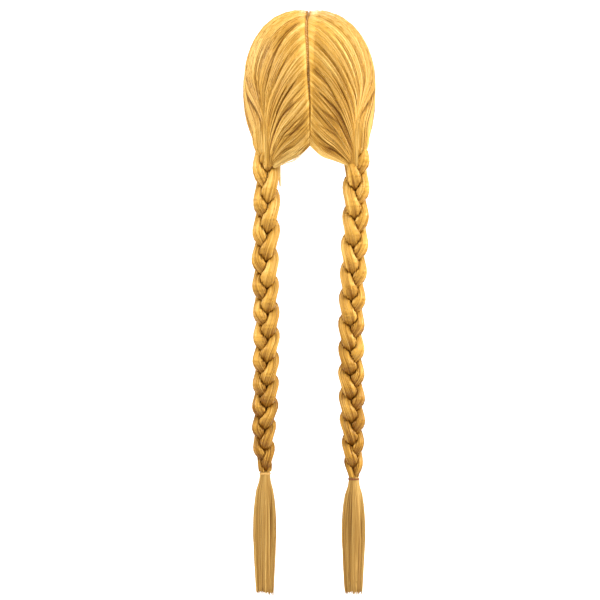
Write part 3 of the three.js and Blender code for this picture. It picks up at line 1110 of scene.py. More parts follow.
@dataclass
class Tie:
    """The elastic wound round the neck between a plait and its tail."""

    plait: Plait
    finish: KnitFinish
    neck: float = 5.6 * MM
    gap: float = 0.4 * MM
    wall: float = 1.5 * MM
    height: float = 3.6 * MM
    below: float = 1.2 * MM
    cord: float = 1.3 * MM
    stack: float = 1.5 * MM
    raised: float = 0.8 * MM
    winds: int = 3
    turns: int = 40
    uneven: float = 0.12 * MM
    waves: float = 2.3
    tilt: float = 0.25 * MM

    def level(self) -> float:
        """Z of the tie's middle."""
        return -self.plait.drop - self.gap - self.below - self.height / 2 + self.raised

    def build(self) -> list[bpy.types.Object]:
        """Winds the elastic.

        Returns:
            The pieces.
        """
        steps = self.winds * self.turns
        share = np.linspace(0, 1, steps)
        angle = share * 2 * math.pi * self.winds
        radius = self.neck + self.gap + self.wall / 2 + self.uneven * np.sin(angle * self.waves)
        rise = (share - 0.5) * self.stack + self.tilt * np.sin(angle)
        path = np.stack(
            [
                self.plait.centre(np.ones(1))[0] + radius * np.cos(angle),
                self.plait.back + radius * np.sin(angle),
                self.level() + rise,
            ],
            axis=-1,
        )[None, :, :]
        blank = np.zeros(path.shape[:2])
        cord = Fibres(
            f"tie_{self.plait.side.word}_elastic",
            self.finish.material(),
            girth=self.cord,
            sides=10,
        )
        piece = cord.make(path, blank, np.zeros_like(path), blank + 1.0)
        settle(piece, "elastic", f"tie_{self.plait.side.word}")
        return [piece]


@dataclass
class Tail:
    """The loose end of the hair below the tie, cut straight."""

    plait: Plait
    tie: Tie
    width: float = 30 * MM
    depth: float = 19 * MM
    foot: float = 737 * MM
    locks: int = 7
    lock_rise: float = 0.05
    rows: int = 70
    columns: int = 96
    fibres: int = 520
    fibre_steps: int = 14
    fibre_girth: float = 0.7 * MM
    groove: float = 0.5 * MM
    grooves: int = 32
    least_ragged: float = 1.5 * MM
    ragged: float = 3.0 * MM
    slant: float = 0.0
    # Share of the length, of the width and of the depth
    sections: tuple[tuple[float, float, float], ...] = (
        (0.0, 0.0, 0.0),
        (0.12, 0.72, 0.86),
        (0.24, 0.9, 0.98),
        (0.36, 0.97, 1.0),
        (0.5, 1.0, 0.98),
        (0.68, 0.92, 0.9),
        (0.86, 0.82, 0.8),
        (1.0, 0.76, 0.7),
    )

    def outline(self, share: Points, angle: Points, lift: Points | float) -> Points:
        """Points on the tail.

        Args:
            share: Share of the way from the neck's top to the cut ends.
            angle: Angle round the tail.
            lift: How far above the tail's skin.

        Returns:
            The points.
        """
        top = -self.plait.drop - self.tie.gap
        neck = self.tie.height + 2 * self.tie.below
        length = self.foot + top
        down = share * length
        along = (down - neck) / (length - neck)
        rows = np.asarray(self.sections)
        half = []
        for column, full in ((1, self.width / 2), (2, self.depth / 2)):
            sizes = rows[:, column] * full
            sizes[0] = self.tie.neck
            half.append(look_up(rows[:, 0], sizes, along))
        rib = 1 - self.lock_rise * (1 - np.cos(self.locks * angle)) * np.clip(along * 6, 0, 1)
        x = (half[0] * rib + lift) * np.cos(angle)
        y = (half[1] * rib + lift) * np.sin(angle)
        z = top - down + self.slant * np.cos(angle) * smooth((along - 0.7) / 0.3)
        return np.stack([self.plait.centre(np.ones(1))[0] + x, self.plait.back + y, z], axis=-1)

    def relief(self, share: Points, angle: Points, ripple: Ripple) -> Points:
        """Combed grooves over the tail, none at its neck.

        Args:
            share: Share of the way from the neck's top to the cut ends.
            angle: Angle round the tail.
            ripple: The tail's own noise.

        Returns:
            Height over the smooth tail.
        """
        free = np.clip(share * 8, 0, 1)
        return self.groove * free * ripple(angle / (2 * math.pi) * self.grooves, share * 2.4)

    def shade(self, share: Points, angle: Points, ripple: Ripple) -> Points:
        """Tail tone: fine dark lines, painted highlight at the sides, a little darker to the ends.

        Args:
            share: Share of the way from the neck's top to the cut ends.
            angle: Angle round the tail.
            ripple: The tail's own noise.

        Returns:
            The tone.
        """
        turn = angle / (2 * math.pi) * self.grooves
        lines = ripple(turn * 1.5 + 9, share * 1.3 + 31)
        broad = ripple(turn * 0.6 + 40, share * 1.1 + 3)
        dark = hump(lines, 0.0, 0.22)
        # Painted highlight down the tail's two sides, at its left and right edges
        edge = np.abs(np.cos(angle)) ** 6
        return 0.62 + 0.2 * broad - 0.62 * dark + 0.3 * edge - 0.24 * share

    def build(self) -> list[bpy.types.Object]:
        """Makes the tail.

        Returns:
            The pieces.
        """
        name = f"tail_{self.plait.side.word}"
        seed = 60 + self.plait.side.value
        ripple = Ripple(seed)
        share = np.linspace(0, 1, self.rows)[:, None]
        angle = np.linspace(0, 2 * math.pi, self.columns, endpoint=False)[None, :]
        share, angle = np.broadcast_arrays(share, angle)
        relief = self.relief(share, angle, ripple)
        rings = self.outline(share, angle, relief)
        ends = ripple(angle / (2 * math.pi) * 16, share * 0 + 9.5) * self.ragged
        rings[..., 2] += (np.abs(ends) + self.least_ragged) * np.clip((share - 0.9) * 10, 0, 1)
        points, faces = closed_tube(rings[:, ::-1])
        # Painted highlight on the combed ridges and painted shade in the grooves, from the relief
        tone = self.shade(share, angle, ripple)[:, ::-1] + 0.4 * (relief / MM)[:, ::-1]
        flow = np.stack([angle * 12 * MM, share * 150 * MM, share * 0], axis=-1)[:, ::-1]
        skin = Skin(name + "_body", points, faces, with_poles(tone), with_poles(flow, 3))
        body = skin.make(DULL_GOLD.material())
        settle(body, "tail_hair", name)
        cover = self.lay_fibres(name + "_fibres", seed, ripple)
        settle(cover, "tail_hair")
        return [body, cover]

    def lay_fibres(self, name: str, seed: int, ripple: Ripple) -> bpy.types.Object:
        """Lays fibres along the tail.

        Args:
            name: The piece's name.
            seed: The number that fixes the draws.
            ripple: The tail's own noise.

        Returns:
            The piece.
        """
        random = np.random.RandomState(seed)
        count = self.fibres
        start = random.uniform(0, 2 * math.pi, (count, 1))
        run = np.linspace(0, 1, self.fibre_steps)[None, :]
        stop = 1 + random.uniform(-0.03, 0.02, (count, 1))
        share, drift = run * stop, Ripple(seed + 1)(start * 9, run * 2)
        angle = start + 0.12 * drift
        height = self.relief(share, angle, ripple) + random.uniform(-0.1, 0.35, (count, 1)) * MM
        paths = self.outline(share, angle, height)
        tone = self.shade(share, angle, ripple) + random.uniform(-0.25, 0.35, (count, 1))
        flow = np.stack([start + share * 0, share * 150 * MM, share * 0], axis=-1)
        taper = np.clip((1 - run) * 30, 0.35, 1.0) + share * 0
        return Fibres(name, DULL_GOLD.material(), self.fibre_girth).make(paths, tone, flow, taper)


# Swept hair


@dataclass(frozen=True)
class Run:
    """How the hair runs from one place on the part down to the root of the plait."""

    part: float
    side: float
    level: float
    depth: float
    swell: float
    root: float
    meet: float
    join: float
    bare: float


FRONT_RUNS = (
    Run(-60, -24, -2, 0.42, 0.1, -142, 0.97, 0.1, 1),
    Run(-34, -17, 3, 0.9, 0.2, -96, 0.97, 0.1, 1),
    Run(-14, -11, 6, 1, 0.42, -30, 0.97, 0.1, 0.8),
    Run(0, -6, 8, 1, 0.42, 45, 0.93, 0.5, 0.5),
    Run(9, -2, 9, 1.05, 0.3, 96, 0.85, 1, 0.45),
    Run(13, 3, 9, 0.72, 0.1, 112, 0.85, 1, 0.45),
)
BACK_RUNS = (
    Run(11, 0, 9, 0.95, 0.15, 100, 0.85, 1, 0.45),
    Run(18, 8, 10, 0.85, 0, 104, 0.85, 1, 0.5),
    Run(36, 32, 8, 0.85, -0.1, 107, 0.85, 1, 0.8),
    Run(46, 50, 0, 1, 0.1, 110, 0.86, 0.9, 1.4),
    Run(60, 58, -2, 1, 0.1, 115, 0.88, 0.6, 1.4),
    Run(80, 66, -10, 1, 0, 124, 0.9, 0.15, 0.8),
    Run(105, 68, -36, 0.9, 0, 137, 0.92, -0.4, 0.05),
    Run(132, 68, -58, 0.55, 0, 152, 0.94, -0.65, -0.2),
)


# Where the back hair billows: the middle and the breadth, along the run and across the section
BILLOW_RUN = (0.72, 0.13)
BILLOW_PLACE = (0.66, 0.17)


@dataclass(frozen=True)
class Crease:
    """A deep groove between two locks: the places where it opens and closes, and its size."""

    begin: tuple[float, float]
    end: tuple[float, float]
    depth: float = 2.2 * MM
    width: float = 0.012

    def fall(self, place: Points, share: Points) -> Points:
        """How far the groove sinks below the hair.

        Args:
            place: Share of the section's width.
            share: Share of the run.

        Returns:
            The depth of the groove.
        """
        along = (share - self.begin[1]) / (self.end[1] - self.begin[1])
        window = np.sin(math.pi * np.clip(along, 0, 1)) ** 0.7
        off = (place - mix(self.begin[0], self.end[0], along)) / self.width
        return self.depth * window * np.exp(-off * off)


FRONT_CREASES = {
    Side.LEFT: (
        Crease((0.86, 0.5), (0.945, 0.96), depth=2.6 * MM, width=0.009),
        Crease((0.7, 0.4), (0.8, 0.95), depth=1.6 * MM, width=0.014),
        Crease((0.5, 0.3), (0.55, 0.9), depth=1.4 * MM, width=0.014),
    ),
    Side.RIGHT: (
        Crease((0.85, 0.5), (0.955, 0.86), depth=2.6 * MM, width=0.009),
        Crease((0.68, 0.45), (0.76, 0.95), depth=1.6 * MM, width=0.014),
        Crease((0.45, 0.3), (0.5, 0.9), depth=1.4 * MM, width=0.014),
    ),
}
BACK_CREASES = {
    Side.LEFT: (
        Crease((0.585, 0.16), (0.625, 0.8), depth=3.2 * MM, width=0.009),
        Crease((0.275, 0.18), (0.355, 0.8), depth=2.4 * MM, width=0.009),
        Crease((0.265, 0.02), (0.262, 0.28), depth=1.6 * MM, width=0.008),
        Crease((0.232, 0.26), (0.2, 0.66), depth=2.0 * MM, width=0.009),
        Crease((0.7, 0.05), (0.65, 0.8), depth=1.8 * MM, width=0.008),
        Crease((0.545, 0.3), (0.575, 0.75), depth=2.2 * MM, width=0.008),
        Crease((0.865, 0.1), (0.73, 0.94), depth=1.5 * MM, width=0.006),
        Crease((0.825, 0.18), (0.7, 0.9), depth=1.2 * MM, width=0.006),
        Crease((0.38, 0.06), (0.45, 0.56), depth=1.5 * MM, width=0.007),
        Crease((0.93, 0.16), (0.86, 0.94), depth=1.3 * MM, width=0.007),
        Crease((0.47, 0.12), (0.5, 0.7), depth=1.5 * MM, width=0.007),
        Crease((0.76, 0.2), (0.7, 0.9), depth=1.2 * MM, width=0.006),
    ),
    Side.RIGHT: (
        Crease((0.42, 0.04), (0.42, 0.66), depth=1.6 * MM, width=0.006),
        Crease((0.54, 0.08), (0.62, 0.5), depth=1.7 * MM, width=0.008),
        Crease((0.665, 0.13), (0.622, 0.88), depth=2.8 * MM, width=0.008),
        Crease((0.365, 0.2), (0.305, 0.88), depth=1.8 * MM, width=0.009),
        Crease((0.74, 0.12), (0.645, 0.92), depth=2.0 * MM, width=0.009),
        Crease((0.845, 0.1), (0.72, 0.96), depth=1.5 * MM, width=0.006),
        Crease((0.93, 0.16), (0.88, 0.94), depth=1.5 * MM, width=0.007),
        Crease((0.48, 0.25), (0.5, 0.85), depth=1.6 * MM, width=0.008),
        Crease((0.79, 0.3), (0.68, 0.9), depth=1.2 * MM, width=0.006),
        Crease((0.57, 0.45), (0.575, 0.9), depth=1.8 * MM, width=0.008),
        Crease((0.17, 0.3), (0.16, 0.75), depth=1.5 * MM, width=0.01),
    ),
}


def part_sway(part: Points) -> Points:
    """How far the part wanders to the wearer's left.

    Args:
        part: Degrees along the part from the crown.

    Returns:
        The distance.
    """
    places = (-60, 0, 25, 46, 54, 64, 72, 90, 106, 132)
    shares = (0, 0.2, 0.4, 0.93, 1, 0.77, 0.64, 0.43, 0.02, 0)
    return 4.4 * MM * look_up(places, shares, part)


@dataclass
class HairSection:
    """A section of swept hair, from the part to the root of a plait."""

    name: str
    plait: Plait
    runs: tuple[Run, ...]
    grooves: tuple[float, ...]
    wrap: float = 0.0
    creases: tuple[Crease, ...] = ()
    seed: int = 1
    hair_depth: float = 9 * MM
    least: float = 4.5 * MM
    crest: float = 0.55
    fall: float = 111 * MM
    part_width: float = 2.4 * MM
    part_lip: float = 9 * MM
    part_roll: float = 0.2
    swell_low: float = 1.7
    lock_rise: float = 1.5 * MM
    root_height: float = 30 * MM
    root_start: float = 0.45
    root_steep: float = 200 * MM
    steep_least: float = -0.15
    root_pinch: float = 0.2
    pull: float = 1.1
    past_root: float = 0.07
    # How dark the painted shade is in the recess where the front and back sections meet
    recess_shade: float = 0.3
    billow: float = 0.0
    pale_edge: float = 0.0
    dark_fibres: float = 0.18
    columns: int = 260
    rows: int = 74
    under_rows: int = 14
    under: float = 4.2 * MM
    fibres: int = 1300
    fibre_steps: int = 17
    fibre_girth: float = 0.62 * MM
    ripple: Ripple = field(init=False)

    def __post_init__(self) -> None:
        """Fixes the section's own noise."""
        self.ripple = Ripple(self.seed)

    def column(self, name: str, part: Points) -> Points:
        """Reads a column of the table of runs.

        Args:
            name: The column.
            part: Degrees along the part from the crown.

        Returns:
            The values.
        """
        return look_up((r.part for r in self.runs), (getattr(r, name) for r in self.runs), part)

    def direction(self, part: Points, share: Points) -> Points:
        """Direction from the head's centre along a lock's run.

        Args:
            part: Degrees along the part from the crown.
            share: Share of the run from the part to the root.

        Returns:
            The direction.
        """
        ray = np.radians(part)
        start = np.stack([np.zeros_like(ray), np.sin(ray), np.cos(ray)], axis=-1)
        side = np.radians(self.column("side", part))
        level = np.radians(self.column("level", part))
        middle = np.stack(
            [np.cos(level) * np.cos(side), np.cos(level) * np.sin(side), np.sin(level)], axis=-1
        )
        plait = self.plait
        end = unit(np.array([plait.spread, plait.back, HEAD.crown_rise - plait.top]))
        rest = (1 - share)[..., None]
        run = share[..., None]
        return start * rest * rest + middle * (2 * self.pull) * run * rest + end * run * run

    def arch(self, place: Points) -> Points:
        """Rise of a lock between two grooves, from 0 to 1.

        Args:
            place: Share of the section's width.

        Returns:
            The rise.
        """
        marks = np.array([0.0, *self.grooves, 1.0])
        row = np.clip(np.searchsorted(marks, place) - 1, 0, len(marks) - 2)
        middle = 2 * (place - marks[row]) / (marks[row + 1] - marks[row]) - 1
        return np.sqrt(np.maximum(0.0, 1 - middle * middle))

    def relief(self, place: Points, share: Points) -> Points:
        """Height of the combed hair over its smooth form.

        Args:
            place: Share of the section's width.
            share: Share of the run.

        Returns:
            The height.
        """
        lean = place + 0.01 * self.ripple(place * 6, share * 2.5)
        free = np.clip(share / self.part_roll, 0, 1)
        spread = 1 - smooth((share - 0.45) / 0.5)
        lock = self.lock_rise * (self.arch(np.clip(lean, 0, 1)) - 1) * free
        fan = free * (0.3 + 0.7 * spread)
        broad = 0.8 * MM * self.ripple(lean * 36, share * 1.4 + 3)
        middle = 0.55 * MM * self.ripple(lean * 83 + 11, share * 2.6 + 9)
        fine = 0.3 * MM * self.ripple(lean * 190 + 5, share * 3.0 + 17)
        height = lock * (0.25 + 0.75 * spread) + (broad + middle + fine) * fan
        for crease in self.creases:
            height = height - crease.fall(place, share)
        return height

    def surface(self, place: Points, share: Points, lift: Points | float) -> Points:
        """Points over the section.

        Args:
            place: Share of the section's width.
            share: Share of the run from the part to the root, and a little past it.
            lift: Height over the section's smooth skin.

        Returns:
            The points.
        """
        place, share = np.broadcast_arrays(place, share)
        run = np.clip(share, 0, 1)
        part = mix(self.runs[0].part, self.runs[-1].part, place)
        full = self.hair_depth * (1 + self.crest * (1 - run) ** 4) * self.column("depth", part)
        swell = self.column("swell", part) * np.sin(math.pi * run**self.swell_low) ** 2
        rise = np.minimum(run / self.part_roll, 1)
        roll = mix(np.minimum(self.part_lip, full), full, np.sqrt(1 - (1 - rise) ** 2))
        strand = hump(run, *BILLOW_RUN) * hump(place, *BILLOW_PLACE)
        height = np.maximum(roll + swell * self.hair_depth + self.billow * strand + lift, 0.3 * MM)
        on_head = HEAD.point(self.direction(part, run), UNDER_HAIR, height, self.fall)
        on_head[..., 0] += self.part_width / 2 * self.column("bare", part) * (1 - run)
        on_head[..., 0] += part_sway(part) * self.plait.side.value * (1 - run) ** 3
        meet, join = self.column("meet", part), self.column("join", part)
        late = np.maximum(0, (run - meet) / (1 - meet))
        above = self.root_steep * np.maximum(join, self.steep_least) * np.maximum(0, meet - run)
        top = self.plait.top
        level = mix(self.root_height * join - top, -top - self.wrap, late) + above
        past = np.maximum(share - 1, 0)
        width = (1 - self.root_pinch * late) * (1 - 3.0 * past)
        root = self.root(self.column("root", part), level - 0.06 * past, width, lift)
        blend = smooth((run - self.root_start) / (meet - self.root_start))[..., None]
        made = self.keep_clear(mix(on_head, root, blend), lift, run < meet)
        made[..., 0] *= self.plait.side.value
        return made

    def keep_clear(self, points: Points, lift: Points | float, where: Points) -> Points:
        """Moves points out, if need be, so that the hair doesn't sink into the cap.

        Args:
            points: The points.
            lift: Height over the section's smooth skin.
            where: Whether each point lies on the head.

        Returns:
            The points.
        """
        ray = points + np.array([0.0, 0.0, HEAD.crown_rise])
        reach = np.linalg.norm(ray, axis=-1)
        floor = HEAD.point(ray, UNDER_HAIR, np.maximum(self.least + lift, 0.2 * MM))
        least = np.linalg.norm(floor + np.array([0.0, 0.0, HEAD.crown_rise]), axis=-1)
        return np.where((where & (reach < least))[..., None], floor, points)

    def root(self, angle: Points, level: Points, width: Points, lift: Points | float) -> Points:
        """Points round the root of the plait, on the wearer's left.

        Args:
            angle: Degrees round the root.
            level: Z of each point.
            width: Share of the root's full width.
            lift: Height over the root.

        Returns:
            The points.
        """
        plait = self.plait
        turn = np.radians(angle)
        across = (plait.width / 2 * width + lift) * np.cos(turn)
        out = (plait.depth / 2 * width + lift) * np.sin(turn)
        centre = plait.centre(np.zeros(1))[0] * plait.side.value
        return np.stack(
            [
                centre + across * math.cos(plait.turn) + out * math.sin(plait.turn),
                plait.back - across * math.sin(plait.turn) + out * math.cos(plait.turn),
                level,
            ],
            axis=-1,
        )

    def shade(self, place: Points, share: Points, relief: Points) -> Points:
        """Tone of the hair, with painted highlights on the locks and painted shade in its hollows.

        Args:
            place: Share of the section's width.
            share: Share of the run.
            relief: Height of the combed hair.

        Returns:
            The tone.
        """
        broad = 0.15 * self.ripple(place * 26, share * 1.2 + 30)
        lines = self.ripple(place * 40 + 21, share * 1.1 + 5)
        narrow = 0.22 * self.ripple(place * 75 + 3, share * 1.6 + 12)
        narrow = narrow - 0.3 * np.exp(-((lines / 0.22) ** 2)) * smooth((share - 0.03) / 0.1)
        fan = smooth((place - 0.35) / 0.2) if self.wrap else 0.0
        # Painted shade where the fan gathers into the plait's root
        inner = smooth((share - 0.62) / 0.3) * fan
        # Painted shade on the slope beside the part, and a painted dark line of shade along the
        # part's edge where it is closed
        beside = np.exp(-(((share - 0.09) / 0.07) ** 2))
        closed = smooth((place - 0.5) / 0.12) + (smooth((0.27 - place) / 0.06) if self.wrap else 0)
        line = np.exp(-((share / 0.012) ** 2)) * closed
        # Painted highlight along the lip of hair at the part
        lip_highlight = np.exp(-(((share - 0.03) / 0.012) ** 2)) * smooth((place - 0.6) / 0.15)
        # Painted shade in the recess where this section dives under the other
        under = self.recess_shade * smooth((share - 0.45) / 0.12) * smooth((0.93 - share) / 0.1)
        # Painted highlight on the raised locks and painted shade in the grooves between them, from
        # the relief
        tone = 0.72 - 0.18 * fan + broad + narrow * (1 + 0.5 * fan) + 0.12 * relief / MM
        # Painted shade in the deep creases
        for crease in self.creases:
            tone = tone - 0.36 * crease.fall(place, share) / MM
        tone = tone - 0.36 * inner - 0.2 * beside - 0.9 * line + 0.2 * lip_highlight
        tone = tone + self.pale_edge * smooth((place - 0.93) / 0.03)
        edge = (0.3 - place) / 0.06 if self.wrap else (place - 0.93) / 0.03
        return np.clip(tone - under * smooth(edge), -0.6, 1.15)

    def build(self) -> list[bpy.types.Object]:
        """Makes the section.

        Returns:
            The pieces.
        """
        place = np.linspace(0, 1, self.columns)[None, :]
        run = np.linspace(0, 1 + self.past_root, self.rows)[:, None]
        back = np.linspace(1 + self.past_root, 0, self.under_rows)[:, None]
        sheets = []
        for share, under in ((run, 0.0), (back, self.under)):
            along, across = np.broadcast_arrays(share, place)
            relief = self.relief(across, np.clip(along, 0, 1))
            edge = np.minimum(across, 1 - across) * self.columns
            thick = np.minimum(under, (1.5 + edge) * MM)
            points = self.surface(across, along, relief - thick)
            # The underside sheet is painted darker, as shade under the hair
            tone = self.shade(across, along, relief) - under / self.under * 0.5
            flow = [across * 150 * MM, along * 180 * MM, along * 0 + self.seed]
            sheets.append((points, tone, np.stack(flow, axis=-1)))
        # Each ring is one column's outline, out along the skin and back along the underside
        rings, tones, flows = (np.concatenate(two, axis=0).swapaxes(0, 1) for two in zip(*sheets))
        if self.plait.side is Side.RIGHT:
            rings, tones, flows = rings[::-1], tones[::-1], flows[::-1]
        columns, around = rings.shape[:2]
        faces = grid_faces(columns, around, wrap=True)
        for base, turned in ((0, False), ((columns - 1) * around, True)):
            ring = list(range(base, base + around))
            faces.append(tuple(ring if turned else ring[::-1]))
        skin = Skin(f"{self.name}_body", rings, faces, tones, flows)
        body = skin.make(GOLD.material())
        settle(body, "hair", self.name)
        cover = self.lay_fibres()
        settle(cover, "hair")
        return [body, cover]

    def lay_fibres(self) -> bpy.types.Object:
        """Lays fibres over the section, in loose layers that cross a little.

        Returns:
            The piece.
        """
        random = np.random.RandomState(self.seed + 200)
        count = self.fibres
        base = (np.arange(count) + random.uniform(0, 1, count))[:, None] / count
        run = np.linspace(0, 1, self.fibre_steps)[None, :]
        first = random.uniform(0, 1, (count, 1)) ** 2.5 * 0.3
        last = 1.0 + self.past_root - random.uniform(0, 1, (count, 1)) ** 6 * 0.2
        share = mix(first, last, run)
        drift = self.ripple(base * 47, share * 1.6 + 40) + 0.6 * self.ripple(base * 211, share * 2)
        place = np.clip(base + 0.006 * drift, 0.002, 0.998)
        layer = random.uniform(0, 1, (count, 1))
        relief = self.relief(place, np.clip(share, 0, 1))
        paths = self.surface(place, share, relief + mix(-0.1, 0.7, layer**2) * MM)
        tone = self.shade(place, share, relief) + random.uniform(-0.32, 0.32, (count, 1))
        across = random.uniform(0, 1, (count, 1)) + share * 0
        shaded = random.uniform(0, 1, (count, 1)) < self.dark_fibres
        tone = tone + 0.07 - 0.85 * shaded * smooth((share - 0.08) / 0.25)
        flow = np.stack([across, share * 180 * MM, share * 0], axis=-1)
        taper = np.clip(np.minimum(run * 12 + 0.3, (1 - run) * 12 + 0.3), 0, 1) + share * 0
        fibres = Fibres(f"{self.name}_fibres", GOLD.material(), girth=self.fibre_girth)
        return fibres.make(paths, np.clip(tone, -0.6, 1.2), flow, taper)


@dataclass
class NapeWisps:
    """Short hairs that hang loose from the edge of the back hair at the nape."""

    section: HairSection
    count: int = 70
    steps: int = 12
    sag: tuple[float, float] = (-0.5 * MM, 4.5 * MM)
    tone: tuple[float, float] = (0.9, 1.15)
    places: tuple[float, float] = (0.93, 0.998)
    stop: tuple[float, float] = (0.6, 0.97)
    girth: float = 0.6 * MM
    seed: int = 71

    def build(self) -> list[bpy.types.Object]:
        """Lays the hairs.

        Returns:
            The one piece that they make.
        """
        random = np.random.RandomState(self.seed)

        def pick(low: float, high: float) -> Points:
            """Draws one value for each hair between two bounds."""
            return random.uniform(low, high, (self.count, 1))

        run = np.linspace(0, 1, self.steps)[None, :]
        place = pick(*self.places) + 0 * run
        share = mix(pick(0.05, 0.4), pick(*self.stop), run)
        lift = pick(0.4, 1.6) * MM
        paths = self.section.surface(place, share, lift * np.sin(math.pi * run * 0.5))
        paths[..., 2] -= pick(*self.sag) * np.sin(math.pi * run * 0.8) ** 1.5
        tone = pick(*self.tone) + 0 * run
        flow = np.stack([pick(0, 1) + 0 * run, share * 180 * MM, share * 0], axis=-1)
        taper = np.clip(np.minimum(run * 8 + 0.2, (1 - run) * 6 + 0.2), 0, 1) + share * 0
        name = f"nape_wisps_{self.section.plait.side.word}"
        piece = Fibres(name, GOLD.material(), girth=self.girth).make(paths, tone, flow, taper)
        settle(piece, "hair")
        return [piece]


@dataclass
class LooseLock:
    """A thin lock that hangs loose just inside a plait's root."""

    plait: Plait
    count: int = 70
    steps: int = 12
    top: float = -176 * MM
    foot: float = -219 * MM
    inside: tuple[float, float] = (17.6 * MM, 19.2 * MM)
    ahead: float = 5.0 * MM
    thickness: float = 1.9 * MM
    girth: float = 0.75 * MM

    def build(self) -> list[bpy.types.Object]:
        """Lays the lock's hairs.

        Returns:
            The one piece that they make.
        """
        random = np.random.RandomState(83)
        turn = random.uniform(0, 2 * math.pi, (self.count, 1))
        off = self.thickness * np.sqrt(random.uniform(0, 1, (self.count, 1)))
        run = np.linspace(0, 1, self.steps)[None, :] + 0 * turn
        slim = 1 - 0.7 * run**2
        x = self.plait.centre(np.zeros(1))[0] - self.plait.side.value * mix(*self.inside, run**2)
        paths = np.stack(
            [
                x + off * slim * np.cos(turn),
                self.plait.back - self.ahead + off * slim * np.sin(turn),
                mix(self.top, self.foot + random.uniform(0, 9, turn.shape) * MM, run),
            ],
            axis=-1,
        )
        tone = random.uniform(0.75, 1.15, (self.count, 1)) + 0 * run
        flow = np.stack([turn + 0 * run, run * 50 * MM, 0 * run], axis=-1)
        hairs = Fibres(f"loose_lock_{self.plait.side.word}", GOLD.material(), girth=self.girth)
        piece = hairs.make(paths, tone, flow, np.ones_like(run))
        settle(piece, "hair")
        return [piece]


@dataclass
class PartStrip:
    """The lace strip along the part, with the knots that hold the hair."""

    sections: tuple[HairSection, HairSection]
    gap: float = 0.4 * MM
    dip: float = 1.5 * MM
    height: float = 2.0 * MM
    ends: tuple[float, float] = (-59.0, 112.0)
    steps: int = 150
    knots: int = 110
    knot: float = 0.6 * MM
    knot_lift: float = 0.25 * MM

    def line(self, share: Points, lift: Points | float) -> tuple[Points, Points]:
        """Points along the middle of the strip, and its half width there.

        Args:
            share: Share of the way from the forehead to the nape.
            lift: Height over the strip's top.

        Returns:
            The points and the half widths.
        """
        front, back = self.sections
        part = mix(self.ends[0], self.ends[1], share)
        ahead = part < back.runs[0].part

        def read(name: str) -> Points:
            """Reads a column of the section that lies beside each place."""
            return np.where(ahead, front.column(name, part), back.column(name, part))

        half = np.maximum(front.part_width / 2 * read("bare") - self.gap, self.gap)
        full = front.hair_depth * (1 + front.crest) * read("depth")
        rise = np.minimum(front.part_lip, full) - self.dip + lift
        ray = np.radians(part)
        direction = np.stack([np.zeros_like(ray), np.sin(ray), np.cos(ray)], axis=-1)
        points = HEAD.point(direction, UNDER_HAIR, rise, front.fall)
        points[:, 0] += part_sway(part)
        return points, half

    def build(self) -> list[bpy.types.Object]:
        """Makes the strip and its knots.

        Returns:
            The strip alone: the knots need no place in the list.
        """
        share = np.linspace(0, 1, self.steps)
        high, half = self.line(share, 0.0)
        low, _ = self.line(share, -self.height)
        out = np.stack([half, half * 0, half * 0], axis=-1)
        rings = np.stack([low - out, high - out, high + out, low + out], axis=1)
        points, faces = closed_tube(rings)
        strip = Skin("part_strip_lace", points, faces).make(LACE.material(), shade_smooth=False)
        settle(strip, "cap", "part_strip")
        random = np.random.RandomState(12)
        place = (np.arange(self.knots) + random.uniform(0.2, 0.8, self.knots)) / self.knots
        seats, half = self.line(place, self.knot_lift)
        seats[:, 0] += half * random.uniform(-0.6, 0.6, self.knots)
        beads = Beads("part_strip_knots", KNOT.material(), self.knot)
        settle(beads.make(seats), "cap")
        return [strip]


# Studio


